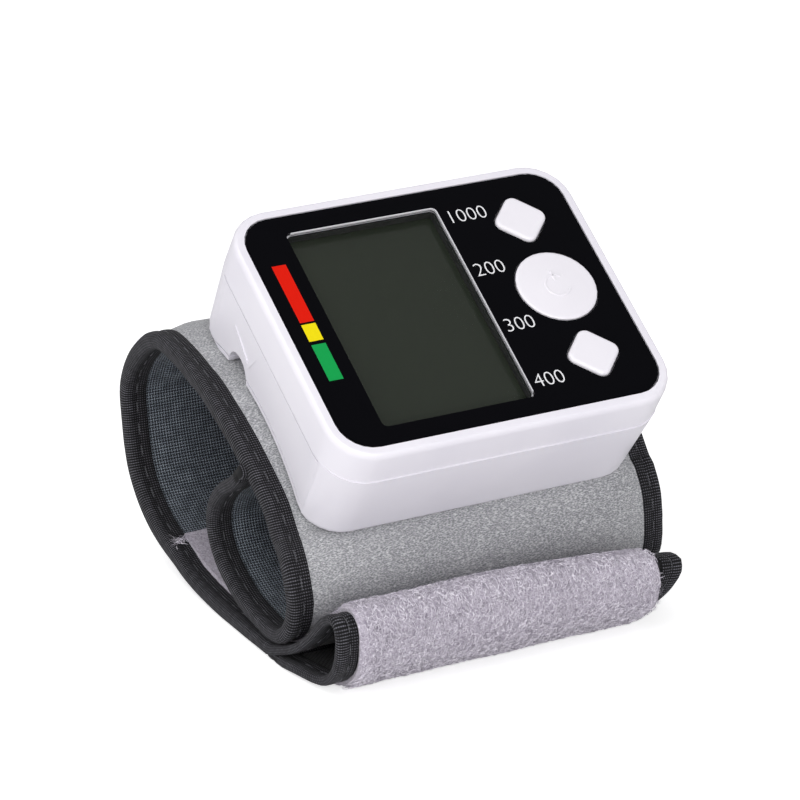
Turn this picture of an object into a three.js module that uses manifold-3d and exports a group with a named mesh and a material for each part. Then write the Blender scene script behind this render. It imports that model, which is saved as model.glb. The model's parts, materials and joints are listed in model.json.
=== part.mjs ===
import * as THREE from 'three';
import { mergeVertices, toCreasedNormals } from 'three/addons/utils/BufferGeometryUtils.js';
import Module from 'manifold-3d';

// Wrist blood pressure monitor, in millimetres, +Z up.
//
// The origin is the centre of the bottom of its box as it rests on a table: +X runs along the
// measuring unit from the display to the keys, -Y is the side the display leans towards.
// The measuring unit is drawn in a frame of its own (z = 0 on the face panel, +Z out of it),
// and the cuff in the resting frame. A small turn about X joins the two.

const wasm = await Module();
wasm.setup();

// Whole product
const restTilt = 32.9; // degrees the face leans forward as it rests
const fitGap = 0.3; // air between pieces that seat on each other
const overrun = 2; // how far a cutting solid runs past what it cuts
const creaseAngle = 32; // degrees between faces that are shaded as an edge

// Facets
const cornerSteps = 6;
const roundSteps = 4;
const fineSides = 32;
const roundSides = 20;
const smallSides = 12;
const archSides = 96;
const ribbonStep = 6;
const ribbonTurn = 13; // degrees that a band may turn between two rings
const hoseSides = 4; // to a half turn
const hoseSteps = 9;

// Face panel and its window
const panelWidth = 70.2;
const panelEndRoom = 6.3; // from each end of the cells to the panel's edge
const panelThickness = 1;
const panelCornerRadius = 6.5;
const windowWidth = 33.3;
const windowBackMargin = 4.85;
const windowFrontMargin = 3.85;
const windowCentreX = -9.5;
const windowCornerRadius = 1.2;

// Keys
const powerKeyRadius = 8.4;
const powerKeyX = 23.3;
const powerKeyDome = 0.7;
const smallKeySide = 8.9;
const smallKeyCornerRadius = 1.9;
const smallKeyPitch = 17.1;
const keyProud = 0.7;
const keyTravel = 0.5;
const keyFlange = 1.1;
const keyFlangeThickness = 0.8;
const keyStemRadius = 1.5;

// Housing, in two moulded halves
const rimWidth = 1.3;
const rimRound = 0.8;
const rimRoundDepth = 1.7;
const housingCornerRadius = 9;
const upperHeight = 8.4;
const lowerHeight = 18.6;
const lowerTaper = 1;
const bottomRound = 1.4;
const deckThickness = 1.2;
const wallThickness = 1.6;
const floorThickness = 2.2;
const archRadius = 48;
const archRise = 5.8; // height of the wrist arch over the housing's bottom edge
const archOffset = -3; // how far the arch's top lies from the housing's middle
const archSpan = 60.8; // depth over which the cuff's places on the arch are spread
const bossRadius = 2.3;
const screwRadius = 1;
const screwHeadRadius = 1.9;
const screwHeadHeight = 1.3;
const screwBite = 2.2; // length of thread in the upper half
const bossWall = 2;

// Battery bay
const cellRadius = 5.25;
const cellLength = 43.4;
const cellTipRadius = 1.9;
const cellTipLength = 1.1;
const cellPlay = 0.4;
const contactThickness = 0.5;
const springLength = 3;
const springTurns = 3;
const springWireRadius = 0.3;
const springWireSides = 3; // corners in each half of the wire's section
const springRadiusShare = 0.6; // widest turn, of the cell's radius
const springReachShare = 0.75; // height of the squeezed spring, of the room for it
const doorEndRoom = 1.3; // from each end of the cells to the door's edge
const doorDrop = 0.4;
const doorSill = 1.2; // strip of the lower half left under the door
const doorTongueReach = 2.4;
const doorTongueHeight = 7;
const doorTongueThickness = 0.9;
const notchWidth = 8;
const notchHeight = 4;
const notchOffset = 9.6;
const arrowRise = 0.35;
const arrowWidth = 0.9;
const arrowLength = 8.4;
const arrowTurn = 15; // degrees the arrow head leans from the resting slope
const partitionThickness = 1.1;

// Display and electronics
const glassThickness = 2.4;
const glassMargin = 1.6;
const glassFrameWidth = 1.3;
const boardThickness = 1.2;
const boardWidth = 65;
const boardClearance = 1.5;
const boardDrop = 1.4;
const switchSide = 6;
const switchHeight = 1.1;
const plungerRadius = 1.4;
const plungerHeight = 0.5;
const zebraThickness = 2;
const zebraInset = 5.5; // from the glass's front edge

// Air system
const pumpRadius = 5.1;
const pumpMotorLength = 18;
const pumpHeadLength = 9;
const pumpX = -4;
const nozzleRadius = 1.1;
const nozzleLength = 3;
const valveRadius = 4;
const valveLength = 11;
const valveX = 5.6;
const valveRun = 13; // from the valve's front to the port
const sensorSide = 7.4;
const sensorHeight = 3.4;
const buzzerRadius = 4.6;
const buzzerHeight = 2.6;
const serviceX = 26;
const manifoldWidth = 8;
const manifoldDepth = 6;
const manifoldHeight = 5;
const portX = 19;
const portY = 13;
const portRadius = 1.8;
const hoseRadius = 1.8;
const hoseBore = 1.4;

// Cuff plate in the underside
const plateWidth = 56;
const plateClearance = 2.6; // between the plate's front edge and the screws' heads
const plateThickness = 0.7;
const plateCornerRadius = 4;

// Cuff band
const cuffTapeClearance = 1; // from the housing's side to the tapes, with the cuff centred
const cuffCentreX = -1.6;
const clothThickness = 0.8;
const liningThickness = 0.7;
const bladderThickness = 1.6;
const bladderMargin = 5;
const pileThickness = 1.1;
const tapeThickness = 0.45;
const tapeWidth = 4.5;
const tapeRound = 0.4;
const cuffReach = 46.3; // arch top to the back of the cuff
const cuffFrontReach = 23.6; // arch top to the front of the cuff
const cuffDrop = 39.7; // arch top to the underside of the cuff

// Strap
const strapWidth = 75.5;
const strapCentreX = -4.75;
const strapClothThickness = 0.6;
const strapReach = 25.8; // strap hinge line to the front of the roll
const strapRise = 17; // table to the top of the roll

// Colours as the photograph shows them
const colours = {
  shell: '#eeedf1', panel: '#0a0b0e', lens: '#dfe6e2', glass: '#383d36', frame: '#d9dadd',
  board: '#1f5c3a', part: '#26282c', metal: '#b9bcc0', cell: '#3b4a63', rubber: '#c9cfd4',
  cloth: '#96999c', lining: '#3a434d', pile: '#b7b1bc', tape: '#2c2c31', bladder: '#6d737b',
};

// Solids

function outward(geometry) {
  const position = geometry.getAttribute('position');
  const index = geometry.getIndex();
  const [a, b, c] = [new THREE.Vector3(), new THREE.Vector3(), new THREE.Vector3()];
  let volume = 0;
  for (let i = 0; i < index.count; i += 3) {
    a.fromBufferAttribute(position, index.getX(i));
    b.fromBufferAttribute(position, index.getX(i + 1));
    c.fromBufferAttribute(position, index.getX(i + 2));
    volume += a.dot(b.cross(c));
  }
  if (volume < 0) {
    const flipped = Array.from(index.array);
    for (let i = 0; i < flipped.length; i += 3) {
      [flipped[i + 1], flipped[i + 2]] = [flipped[i + 2], flipped[i + 1]];
    }
    geometry.setIndex(flipped);
  }
  return geometry;
}

// A closed skin over rings of equal count. The outline says how the end caps are divided.
function skin(rings, outline) {
  const count = outline.length;
  const index = [];
  for (let r = 0; r + 1 < rings.length; r += 1) {
    for (let i = 0; i < count; i += 1) {
      const j = (i + 1) % count;
      const [a, b] = [r * count + i, r * count + j];
      index.push(a, b, b + count, a, b + count, a + count);
    }
  }
  const turn = Math.sign(THREE.ShapeUtils.area(outline));
  const last = (rings.length - 1) * count;
  for (const [i, j, k] of THREE.ShapeUtils.triangulateShape(outline, [])) {
    const faces = turn === Math.sign(THREE.ShapeUtils.area([outline[i], outline[j], outline[k]]));
    const [p, q, s] = faces ? [i, j, k] : [i, k, j];
    index.push(p, s, q, last + p, last + q, last + s);
  }
  const geometry = new THREE.BufferGeometry();
  const positions = rings.flat().flatMap((point) => point.toArray());
  geometry.setAttribute('position', new THREE.Float32BufferAttribute(positions, 3));
  geometry.setIndex(index);
  return outward(geometry);
}

function toSolid(shape) {
  if (!shape.isBufferGeometry) {
    return shape;
  }
  const bare = shape.clone();
  bare.deleteAttribute('normal');
  bare.deleteAttribute('uv');
  const merged = mergeVertices(bare);
  const vertProperties = Float32Array.from(merged.getAttribute('position').array);
  const triVerts = Uint32Array.from(merged.getIndex().array);
  return new wasm.Manifold(new wasm.Mesh({ numProp: 3, vertProperties, triVerts }));
}

function cut(body, ...tools) {
  return tools.reduce((solid, tool) => solid.subtract(toSolid(tool)), toSolid(body));
}

function join(body, ...extras) {
  return extras.reduce((solid, extra) => solid.add(toSolid(extra)), toSolid(body));
}

function meet(body, ...others) {
  return others.reduce((solid, other) => solid.intersect(toSolid(other)), toSolid(body));
}

function toGeometry(shape) {
  if (shape.isBufferGeometry) {
    return shape;
  }
  const mesh = shape.getMesh();
  const geometry = new THREE.BufferGeometry();
  geometry.setAttribute('position', new THREE.Float32BufferAttribute(mesh.vertProperties, 3));
  geometry.setIndex(Array.from(mesh.triVerts));
  return geometry;
}

function block(x0, x1, y0, y1, z0, z1) {
  const geometry = new THREE.BoxGeometry(x1 - x0, y1 - y0, z1 - z0);
  return geometry.translate((x0 + x1) / 2, (y0 + y1) / 2, (z0 + z1) / 2);
}

function rodZ(x, y, radius, z0, z1, sides = roundSides) {
  const geometry = new THREE.CylinderGeometry(radius, radius, z1 - z0, sides);
  return geometry.rotateX(Math.PI / 2).translate(x, y, (z0 + z1) / 2);
}

function rodY(x, z, radius, y0, y1, sides = roundSides) {
  const geometry = new THREE.CylinderGeometry(radius, radius, y1 - y0, sides);
  return geometry.translate(x, (y0 + y1) / 2, z);
}

function rodX(y, z, radius, x0, x1, sides = roundSides) {
  const geometry = new THREE.CylinderGeometry(radius, radius, x1 - x0, sides);
  return geometry.rotateZ(Math.PI / 2).translate((x0 + x1) / 2, y, z);
}

// Outlines

function roundedOutline(width, depth, radius) {
  const points = [];
  const quarters = [[1, 1], [-1, 1], [-1, -1], [1, -1]];
  quarters.forEach(([sx, sy], quarter) => {
    for (let i = 0; i <= cornerSteps; i += 1) {
      const angle = (Math.PI / 2) * (quarter + i / cornerSteps);
      const x = sx * (width / 2 - radius) + radius * Math.cos(angle);
      const y = sy * (depth / 2 - radius) + radius * Math.sin(angle);
      points.push(new THREE.Vector2(x, y));
    }
  });
  return points;
}

function shift(outline, x, y) {
  return outline.map((point) => new THREE.Vector2(point.x + x, point.y + y));
}

function turn45(outline) {
  return outline.map((point) => point.clone().rotateAround(new THREE.Vector2(), Math.PI / 4));
}

function slab(outline, z0, z1) {
  const rings = [z0, z1].map((z) => outline.map((point) => new THREE.Vector3(point.x, point.y, z)));
  return skin(rings, outline);
}

function shellSlab(outer, inner, z0, z1) {
  return cut(slab(outer, z0, z1), slab(inner, z0 - overrun, z1 + overrun));
}

// Heights in the measuring unit, from the face panel's top down
const deckTop = -panelThickness - fitGap;
const deckUnder = deckTop - deckThickness;
const upperBottom = -upperHeight;
const lowerTop = upperBottom - fitGap;
const housingBottom = upperBottom - lowerHeight;
const archTop = housingBottom + archRise;
const archCentre = archTop - archRadius;
const glassTop = deckUnder - fitGap;
const glassUnder = glassTop - glassThickness;
const boardTop = glassUnder - boardDrop;
const boardUnder = boardTop - boardThickness;
const floorTop = archTop + floorThickness;

// Plan sizes of the measuring unit, round the cells
const panelDepth = cellLength + 2 * panelEndRoom;
const doorDepth = cellLength + 2 * doorEndRoom;
const windowDepth = panelDepth - windowBackMargin - windowFrontMargin;
const windowCentreY = (windowFrontMargin - windowBackMargin) / 2;
const recessWidth = panelWidth + 2 * fitGap;
const recessDepth = panelDepth + 2 * fitGap;
const recessCornerRadius = panelCornerRadius + fitGap;
const housingWidth = recessWidth + 2 * (rimWidth + rimRound);
const housingDepth = recessDepth + 2 * (rimWidth + rimRound);
const innerWidth = housingWidth - 2 * wallThickness;
const innerDepth = housingDepth - 2 * wallThickness;
const innerCornerRadius = housingCornerRadius - wallThickness;
const glassWidth = windowWidth + 2 * glassMargin;
const glassDepth = windowDepth + 2 * glassMargin;
const cellX1 = -(innerWidth / 2 - lowerTaper) + fitGap + cellPlay + cellRadius;
const cellX2 = cellX1 + 2 * cellRadius + cellPlay;
const cellZ = floorTop + fitGap + cellRadius;
const partitionX = cellX2 + cellRadius + cellPlay;
const contactPlace = cellLength / 2 + springLength + fitGap;
const contactHalf = cellRadius * Math.SQRT1_2;
const smallKeyPlaces = [smallKeyPitch, -smallKeyPitch];
const cornerBossReach = (housingCornerRadius - wallThickness - bossRadius) * Math.SQRT1_2;
const cornerBossX = housingWidth / 2 - housingCornerRadius + cornerBossReach;
const cornerBossY = housingDepth / 2 - housingCornerRadius + cornerBossReach;
const boardDepth = 2 * (cornerBossY - bossRadius - boardClearance);
const middleBossX = partitionX + partitionThickness / 2 + bossRadius;
const middleBossY = innerDepth / 2 - lowerTaper - bossRadius;
const plateDepth = 2 * (middleBossY - screwHeadRadius - plateClearance + archOffset);
const screwPlaces = [
  [cornerBossX, cornerBossY], [cornerBossX, -cornerBossY],
  [middleBossX, middleBossY], [middleBossX, -middleBossY],
];

function archHeight(y, radius = archRadius) {
  return archCentre + Math.sqrt(Math.max(radius ** 2 - (y - archOffset) ** 2, 0));
}

function archRod(radius) {
  const half = housingWidth / 2 + overrun;
  return rodX(archOffset, archCentre, radius, -half, half, archSides);
}

// The lower half's outside (inset 0) or inside, from the parting line down past the bottom edge
function lowerLoft(inset, radius, top, bottom) {
  const outline = roundedOutline(housingWidth, housingDepth, radius);
  const ringAt = (offset, z) => roundedOutline(
    housingWidth - 2 * (inset + offset),
    housingDepth - 2 * (inset + offset),
    radius - offset * Math.SQRT1_2,
  ).map((point) => new THREE.Vector3(point.x, point.y, z));
  const rings = [ringAt(0, top)];
  const roundTop = bottom + bottomRound;
  for (let i = 0; i <= roundSteps; i += 1) {
    const angle = (Math.PI / 2) * (i / roundSteps);
    const offset = lowerTaper + bottomRound * (1 - Math.cos(angle));
    rings.push(ringAt(offset, roundTop - bottomRound * Math.sin(angle)));
  }
  return skin(rings, outline);
}

function upperHousing() {
  const outline = roundedOutline(housingWidth, housingDepth, housingCornerRadius);
  const ringAt = (offset, z) => roundedOutline(
    housingWidth - 2 * offset,
    housingDepth - 2 * offset,
    housingCornerRadius - offset,
  ).map((point) => new THREE.Vector3(point.x, point.y, z));
  const rings = [ringAt(0, upperBottom)];
  for (let i = 0; i <= roundSteps; i += 1) {
    const angle = (Math.PI / 2) * (i / roundSteps);
    const offset = rimRound * (1 - Math.cos(angle));
    rings.push(ringAt(offset, rimRoundDepth * (Math.sin(angle) - 1)));
  }
  const inside = roundedOutline(innerWidth, innerDepth, innerCornerRadius);
  const recess = roundedOutline(recessWidth, recessDepth, recessCornerRadius);
  const windowHole = shift(
    roundedOutline(windowWidth, windowDepth, windowCornerRadius), windowCentreX, windowCentreY,
  );
  let shell = cut(
    skin(rings, outline),
    slab(inside, upperBottom - overrun, deckUnder),
    slab(recess, deckTop, overrun),
    slab(windowHole, deckUnder - overrun, deckTop + overrun),
    rodZ(powerKeyX, 0, powerKeyRadius + fitGap, deckUnder - overrun, deckTop + overrun, fineSides),
  );
  for (const y of smallKeyPlaces) {
    const hole = smallKeyOutline(fitGap, y);
    shell = cut(shell, slab(hole, deckUnder - overrun, deckTop + overrun));
  }
  screwPlaces.forEach(([x, y]) => {
    const top = x < 0 ? glassUnder - fitGap : deckUnder + overrun / 2;
    const wallY = Math.sign(y) * (innerDepth + wallThickness) / 2;
    const web = block(
      x - bossRadius / 2, x + bossRadius / 2, Math.min(y, wallY), Math.max(y, wallY),
      upperBottom, Math.min(top, deckTop),
    );
    const boss = meet(
      join(rodZ(x, y, bossRadius, upperBottom, Math.min(top, deckTop)), web),
      slab(outline, upperBottom - overrun, overrun),
    );
    const pilot = rodZ(
      x, y, screwRadius + fitGap, upperBottom - overrun, upperBottom + screwBite + fitGap,
      smallSides,
    );
    shell = cut(join(shell, boss), pilot);
  });
  return shell;
}

function smallKeyOutline(extra, y) {
  const side = smallKeySide + 2 * extra;
  const outline = roundedOutline(side, side, smallKeyCornerRadius + extra);
  return shift(turn45(outline), powerKeyX, y);
}

function facePanel() {
  const outline = roundedOutline(panelWidth, panelDepth, panelCornerRadius);
  const lensOutline = roundedOutline(windowWidth, windowDepth, windowCornerRadius);
  let panel = cut(
    slab(outline, -panelThickness, 0),
    slab(shift(lensOutline, windowCentreX, windowCentreY), -panelThickness - overrun, overrun),
    rodZ(powerKeyX, 0, powerKeyRadius + fitGap, -panelThickness - overrun, overrun, fineSides),
  );
  for (const y of smallKeyPlaces) {
    panel = cut(panel, slab(smallKeyOutline(fitGap, y), -panelThickness - overrun, overrun));
  }
  return panel;
}

function windowLens() {
  const outline = roundedOutline(
    windowWidth - 2 * fitGap, windowDepth - 2 * fitGap, windowCornerRadius - fitGap,
  );
  return slab(shift(outline, windowCentreX, windowCentreY), -panelThickness, 0);
}

const plungerTop = boardTop + fitGap + switchHeight + plungerHeight;
const stemBottom = plungerTop + keyTravel + fitGap;
const flangeTop = deckUnder - fitGap;
const flangeBottom = flangeTop - keyFlangeThickness;

function powerKey() {
  const edge = keyProud - powerKeyDome / 2;
  const profile = [[0, stemBottom], [keyStemRadius, stemBottom], [keyStemRadius, flangeBottom]];
  profile.push([powerKeyRadius + keyFlange, flangeBottom], [powerKeyRadius + keyFlange, flangeTop]);
  profile.push([powerKeyRadius, flangeTop], [powerKeyRadius, edge - powerKeyDome / 2]);
  for (let i = 1; i <= roundSteps; i += 1) {
    const angle = (Math.PI / 2) * (i / roundSteps);
    const radius = powerKeyRadius - powerKeyDome * (1 - Math.cos(angle));
    profile.push([radius, edge - powerKeyDome / 2 * (1 - Math.sin(angle))]);
  }
  profile.push([powerKeyRadius / 2, keyProud - powerKeyDome / 4], [0, keyProud]);
  const points = profile.map(([radius, z]) => new THREE.Vector2(radius, z));
  const lathe = new THREE.LatheGeometry(points, fineSides).rotateX(Math.PI / 2);
  return lathe.translate(powerKeyX, 0, 0);
}

function smallKey(y) {
  const outline = smallKeyOutline(0, y);
  const levels = [[0, flangeTop], [0, keyProud - powerKeyDome]];
  for (let i = 1; i <= roundSteps; i += 1) {
    const angle = (Math.PI / 2) * (i / roundSteps);
    levels.push([
      powerKeyDome * (1 - Math.cos(angle)), keyProud - powerKeyDome * (1 - Math.sin(angle)),
    ]);
  }
  const rings = levels.map(([inset, z]) => smallKeyOutline(-inset, y)
    .map((point) => new THREE.Vector3(point.x, point.y, z)));
  const flange = slab(smallKeyOutline(keyFlange, y), flangeBottom, flangeTop);
  const stem = rodZ(powerKeyX, y, keyStemRadius, stemBottom, flangeBottom, smallSides);
  return join(skin(rings, outline), flange, stem);
}

// The opening in the left wall that the battery door fills, with a margin all round
function doorRegion(margin) {
  const left = -(housingWidth / 2 + overrun);
  const right = -(innerWidth / 2 - lowerTaper) + margin / 2;
  const half = doorDepth / 2 + margin;
  return cut(
    block(left, right, -half, half, housingBottom - overrun, lowerTop - doorDrop + margin),
    archRod(archRadius + doorSill - margin),
  );
}

function doorNotch() {
  const left = -(housingWidth / 2 + overrun);
  const right = -(innerWidth / 2 - lowerTaper) + overrun;
  const base = archHeight(notchOffset);
  const round = rodX(
    notchOffset, base + notchHeight - notchWidth / 2, notchWidth / 2, left, right, roundSides,
  );
  const half = notchWidth / 2;
  const open = block(
    left, right, notchOffset - half, notchOffset + half, housingBottom - overrun,
    base + notchHeight - half,
  );
  return join(round, open);
}

// The raised arrow head that shows which way the door comes off
function doorArrow() {
  const apexY = notchOffset - notchWidth / 2 + arrowWidth;
  const apexZ = (lowerTop + archTop) / 2 - arrowLength / 4;
  const angles = [restTilt, restTilt + 90];
  const bars = angles.map((angle) => {
    const bar = new THREE.BoxGeometry(wallThickness, arrowLength, arrowWidth);
    bar.translate(0, arrowLength / 2, 0).rotateX(THREE.MathUtils.degToRad(angle - arrowTurn));
    return bar.translate(-(housingWidth / 2 - lowerTaper), apexY, apexZ);
  });
  return join(bars[0], bars[1]);
}

const lowerOutside = toSolid(
  cut(lowerLoft(0, housingCornerRadius, lowerTop, housingBottom), archRod(archRadius)),
);
const lowerInside = toSolid(cut(
  lowerLoft(wallThickness, innerCornerRadius, lowerTop + overrun, housingBottom),
  archRod(archRadius + floorThickness),
));

function batteryDoor() {
  const cover = meet(cut(lowerOutside, lowerInside), doorRegion(0));
  const raised = lowerLoft(-arrowRise, housingCornerRadius, lowerTop, housingBottom);
  const arrow = meet(doorArrow(), raised, doorRegion(-fitGap));
  const inner = -(innerWidth / 2 - lowerTaper);
  const tongues = [1, -1].map((side) => {
    const y = side * (doorDepth - doorTongueThickness) / 2;
    const half = doorTongueThickness / 2;
    return block(
      inner - wallThickness, inner + doorTongueReach, y - half, y + half,
      cellZ - doorTongueHeight / 2, cellZ + doorTongueHeight / 2,
    );
  });
  return join(cut(join(cover, arrow), doorNotch()), ...tongues);
}

// The rib at each end of the bay that the contact plates stand against
function contactSeat(side) {
  const inner = side * (contactPlace + contactThickness + fitGap);
  const outer = side * (innerDepth + wallThickness) / 2;
  const rib = block(
    cellX1 - cellRadius / 2, cellX2 + cellRadius / 2,
    Math.min(inner, outer), Math.max(inner, outer), housingBottom, cellZ + contactHalf,
  );
  return meet(rib, lowerOutside);
}

function lowerHousing() {
  let shell = cut(lowerOutside, lowerInside);
  shell = cut(shell, doorRegion(fitGap), doorNotch());
  const partition = meet(block(
    partitionX, partitionX + partitionThickness, -innerDepth / 2, innerDepth / 2,
    housingBottom, lowerTop,
  ), cut(lowerLoft(wallThickness / 2, innerCornerRadius, boardUnder, housingBottom),
    archRod(archRadius + floorThickness / 2)));
  shell = join(shell, partition, contactSeat(1), contactSeat(-1));
  screwPlaces.forEach(([x, y]) => {
    const boss = meet(
      rodZ(x, y, bossRadius + fitGap, housingBottom - overrun, lowerTop), lowerOutside,
    );
    shell = join(shell, boss);
  });
  screwPlaces.forEach(([x, y]) => {
    const seat = housingBottom + floorThickness + bossWall;
    shell = cut(
      shell,
      rodZ(x, y, screwRadius + fitGap, housingBottom - overrun, lowerTop + overrun, smallSides),
      rodZ(x, y, screwHeadRadius + fitGap, housingBottom - overrun, seat, smallSides),
    );
  });
  const recess = meet(
    archRod(archRadius + plateThickness + fitGap),
    slab(plateOutline(fitGap), housingBottom - overrun, 0),
  );
  const portHole = rodZ(
    portX, portY, portRadius + fitGap, housingBottom - overrun, lowerTop, roundSides,
  );
  return cut(shell, recess, portHole);
}

function plateOutline(margin) {
  return shift(roundedOutline(
    plateWidth + 2 * margin, plateDepth + 2 * margin, plateCornerRadius + margin,
  ), 0, archOffset);
}

function cuffPlate() {
  const sheet = cut(archRod(archRadius + plateThickness), archRod(archRadius));
  const plate = meet(sheet, slab(plateOutline(0), housingBottom - overrun, 0));
  const hole = rodZ(portX, portY, portRadius + fitGap, housingBottom - overrun, 0);
  return cut(plate, hole);
}

function screw([x, y]) {
  const seat = housingBottom + floorThickness + bossWall - fitGap;
  const head = rodZ(x, y, screwHeadRadius, seat - screwHeadHeight, seat, smallSides);
  const shank = rodZ(x, y, screwRadius, seat, upperBottom + screwBite, smallSides);
  const slot = block(
    x - screwHeadRadius, x + screwHeadRadius, y - screwRadius / 4, y + screwRadius / 4,
    seat - screwHeadHeight - overrun, seat - screwHeadHeight / 2,
  );
  return cut(join(head, shank), slot);
}

// Display and board

function glassPlate() {
  const outline = roundedOutline(glassWidth, glassDepth, windowCornerRadius);
  return slab(shift(outline, windowCentreX, windowCentreY), glassUnder, glassTop);
}

function glassFrame() {
  const margin = 2 * fitGap;
  const inner = roundedOutline(glassWidth + margin, glassDepth + margin, windowCornerRadius);
  const outer = roundedOutline(
    glassWidth + margin + 2 * glassFrameWidth,
    Math.min(glassDepth + margin + 2 * glassFrameWidth, innerDepth - margin),
    windowCornerRadius + glassFrameWidth,
  );
  const [x, y] = [windowCentreX, windowCentreY];
  return shellSlab(shift(outer, x, y), shift(inner, x, y), glassUnder, glassTop);
}

function zebraStrip() {
  const half = windowWidth / 2;
  const y = windowCentreY - glassDepth / 2 + zebraInset;
  return block(
    windowCentreX - half, windowCentreX + half, y, y + zebraThickness,
    boardTop + fitGap, glassUnder - fitGap,
  );
}

function circuitBoard() {
  const outline = roundedOutline(boardWidth, boardDepth, windowCornerRadius);
  return slab(outline, boardUnder, boardTop);
}

function tactSwitch(y) {
  const half = switchSide / 2;
  const base = boardTop + fitGap;
  const body = block(
    powerKeyX - half, powerKeyX + half, y - half, y + half, base, base + switchHeight,
  );
  return join(body, rodZ(powerKeyX, y, plungerRadius, base, plungerTop, smallSides));
}

// Cells and contacts

const cellFront = -cellLength / 2;

function cell(x, facing) {
  const can = rodY(x, cellZ, cellRadius, cellFront, -cellFront, roundSides);
  const tip = rodY(
    x, cellZ, cellTipRadius, -cellFront, -cellFront + cellTipLength, smallSides,
  );
  const whole = toGeometry(join(can, tip));
  return facing > 0 ? whole : whole.translate(-x, 0, 0).rotateZ(Math.PI).translate(x, 0, 0);
}

function contactPlate(x0, x1, side) {
  const inner = side * contactPlace;
  const outer = side * (contactPlace + contactThickness);
  return block(
    x0 - cellRadius / 2, x1 + cellRadius / 2, Math.min(inner, outer), Math.max(inner, outer),
    cellZ - contactHalf, cellZ + contactHalf,
  );
}

// A conical battery spring, standing on its plate
function contactSpring(x, side) {
  class Winding extends THREE.Curve {
    getPoint(t) {
      const angle = 2 * Math.PI * springTurns * t;
      const radius = cellRadius * springRadiusShare * (1 - t / 2);
      const reach = springWireRadius + fitGap + t * springLength * springReachShare;
      const y = side * (contactPlace - reach);
      return new THREE.Vector3(x + radius * Math.cos(angle), y, cellZ + radius * Math.sin(angle));
    }
  }
  const section = new THREE.Shape(new THREE.Path().absarc(
    0, 0, springWireRadius, 0, 2 * Math.PI,
  ).getPoints(springWireSides).slice(0, -1));
  return new THREE.ExtrudeGeometry(section, {
    steps: springTurns * roundSides / 2, extrudePath: new Winding(), bevelEnabled: false,
  });
}

// Air system

const pumpZ = floorTop + fitGap + pumpRadius;
const headFront = pumpMotorLength / 2 - pumpHeadLength / 2;

function pumpMotor() {
  const start = headFront - pumpMotorLength;
  const can = rodY(pumpX, pumpZ, pumpRadius, start, headFront - fitGap, fineSides);
  return join(can, rodY(pumpX, pumpZ, pumpRadius / 3, start - rimRound, start, smallSides));
}

function pumpHead() {
  const body = rodY(pumpX, pumpZ, pumpRadius, headFront, headFront + pumpHeadLength, smallSides);
  const end = headFront + pumpHeadLength;
  return join(body, rodY(pumpX, pumpZ, nozzleRadius, end, end + nozzleLength, smallSides));
}

const valveZ = floorTop + fitGap + valveRadius;
const valveEnd = portY - valveRun;

function exhaustValve() {
  const body = rodY(valveX, valveZ, valveRadius, valveEnd - valveLength, valveEnd, roundSides);
  return join(body, rodY(valveX, valveZ, nozzleRadius, valveEnd, valveEnd + nozzleLength, smallSides));
}

const manifoldBase = floorTop + fitGap;
const manifoldZ = manifoldBase + manifoldHeight / 2;

function airManifold() {
  const [hw, hd] = [manifoldWidth / 2, manifoldDepth / 2];
  const body = block(
    portX - hw, portX + hw, portY - hd, portY + hd, manifoldBase, manifoldBase + manifoldHeight,
  );
  const innerSide = archOffset + Math.abs(portY - archOffset) - portRadius;
  const portEnd = archHeight(innerSide) - fitGap - clothThickness;
  const port = rodZ(portX, portY, portRadius, portEnd, manifoldZ, roundSides);
  const barbs = [hd / 2, -hd / 2].map((offset) => rodX(
    portY + offset, manifoldZ + offset, nozzleRadius, portX - hw - nozzleLength, portX - hw,
    smallSides,
  ));
  return join(body, port, ...barbs);
}

function hose(points) {
  const curve = new THREE.CatmullRomCurve3(points);
  const ring = new THREE.Path().absarc(0, 0, hoseRadius, 0, 2 * Math.PI);
  const shape = new THREE.Shape(ring.getPoints(hoseSides).slice(0, -1));
  const bore = new THREE.Path().absarc(0, 0, hoseBore, 0, 2 * Math.PI);
  shape.holes.push(new THREE.Path(bore.getPoints(hoseSides).slice(0, -1)));
  return new THREE.ExtrudeGeometry(shape, {
    steps: hoseSteps, extrudePath: curve, bevelEnabled: false, curveSegments: 1,
  });
}

// Cuff band: a mid-line in the resting frame, with layers laid at offsets from it

const tiltAngle = THREE.MathUtils.degToRad(restTilt);
const bladderStack = clothThickness + liningThickness + bladderThickness + 2 * fitGap;
const plainStack = clothThickness + liningThickness + fitGap;

function toRest(y, z) {
  const point = new THREE.Vector2(y, z).rotateAround(new THREE.Vector2(), tiltAngle);
  return new THREE.Vector2(point.x, point.y);
}

const midRadius = archRadius - fitGap - bladderStack / 2;
const anchor = toRest(archOffset, archCentre + midRadius);

// How many of the path's points below lie before a layer's start or end
const bladderTailPoints = 4;
const bladderBackPoints = 11;
const pileBackPoints = 12;

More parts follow.
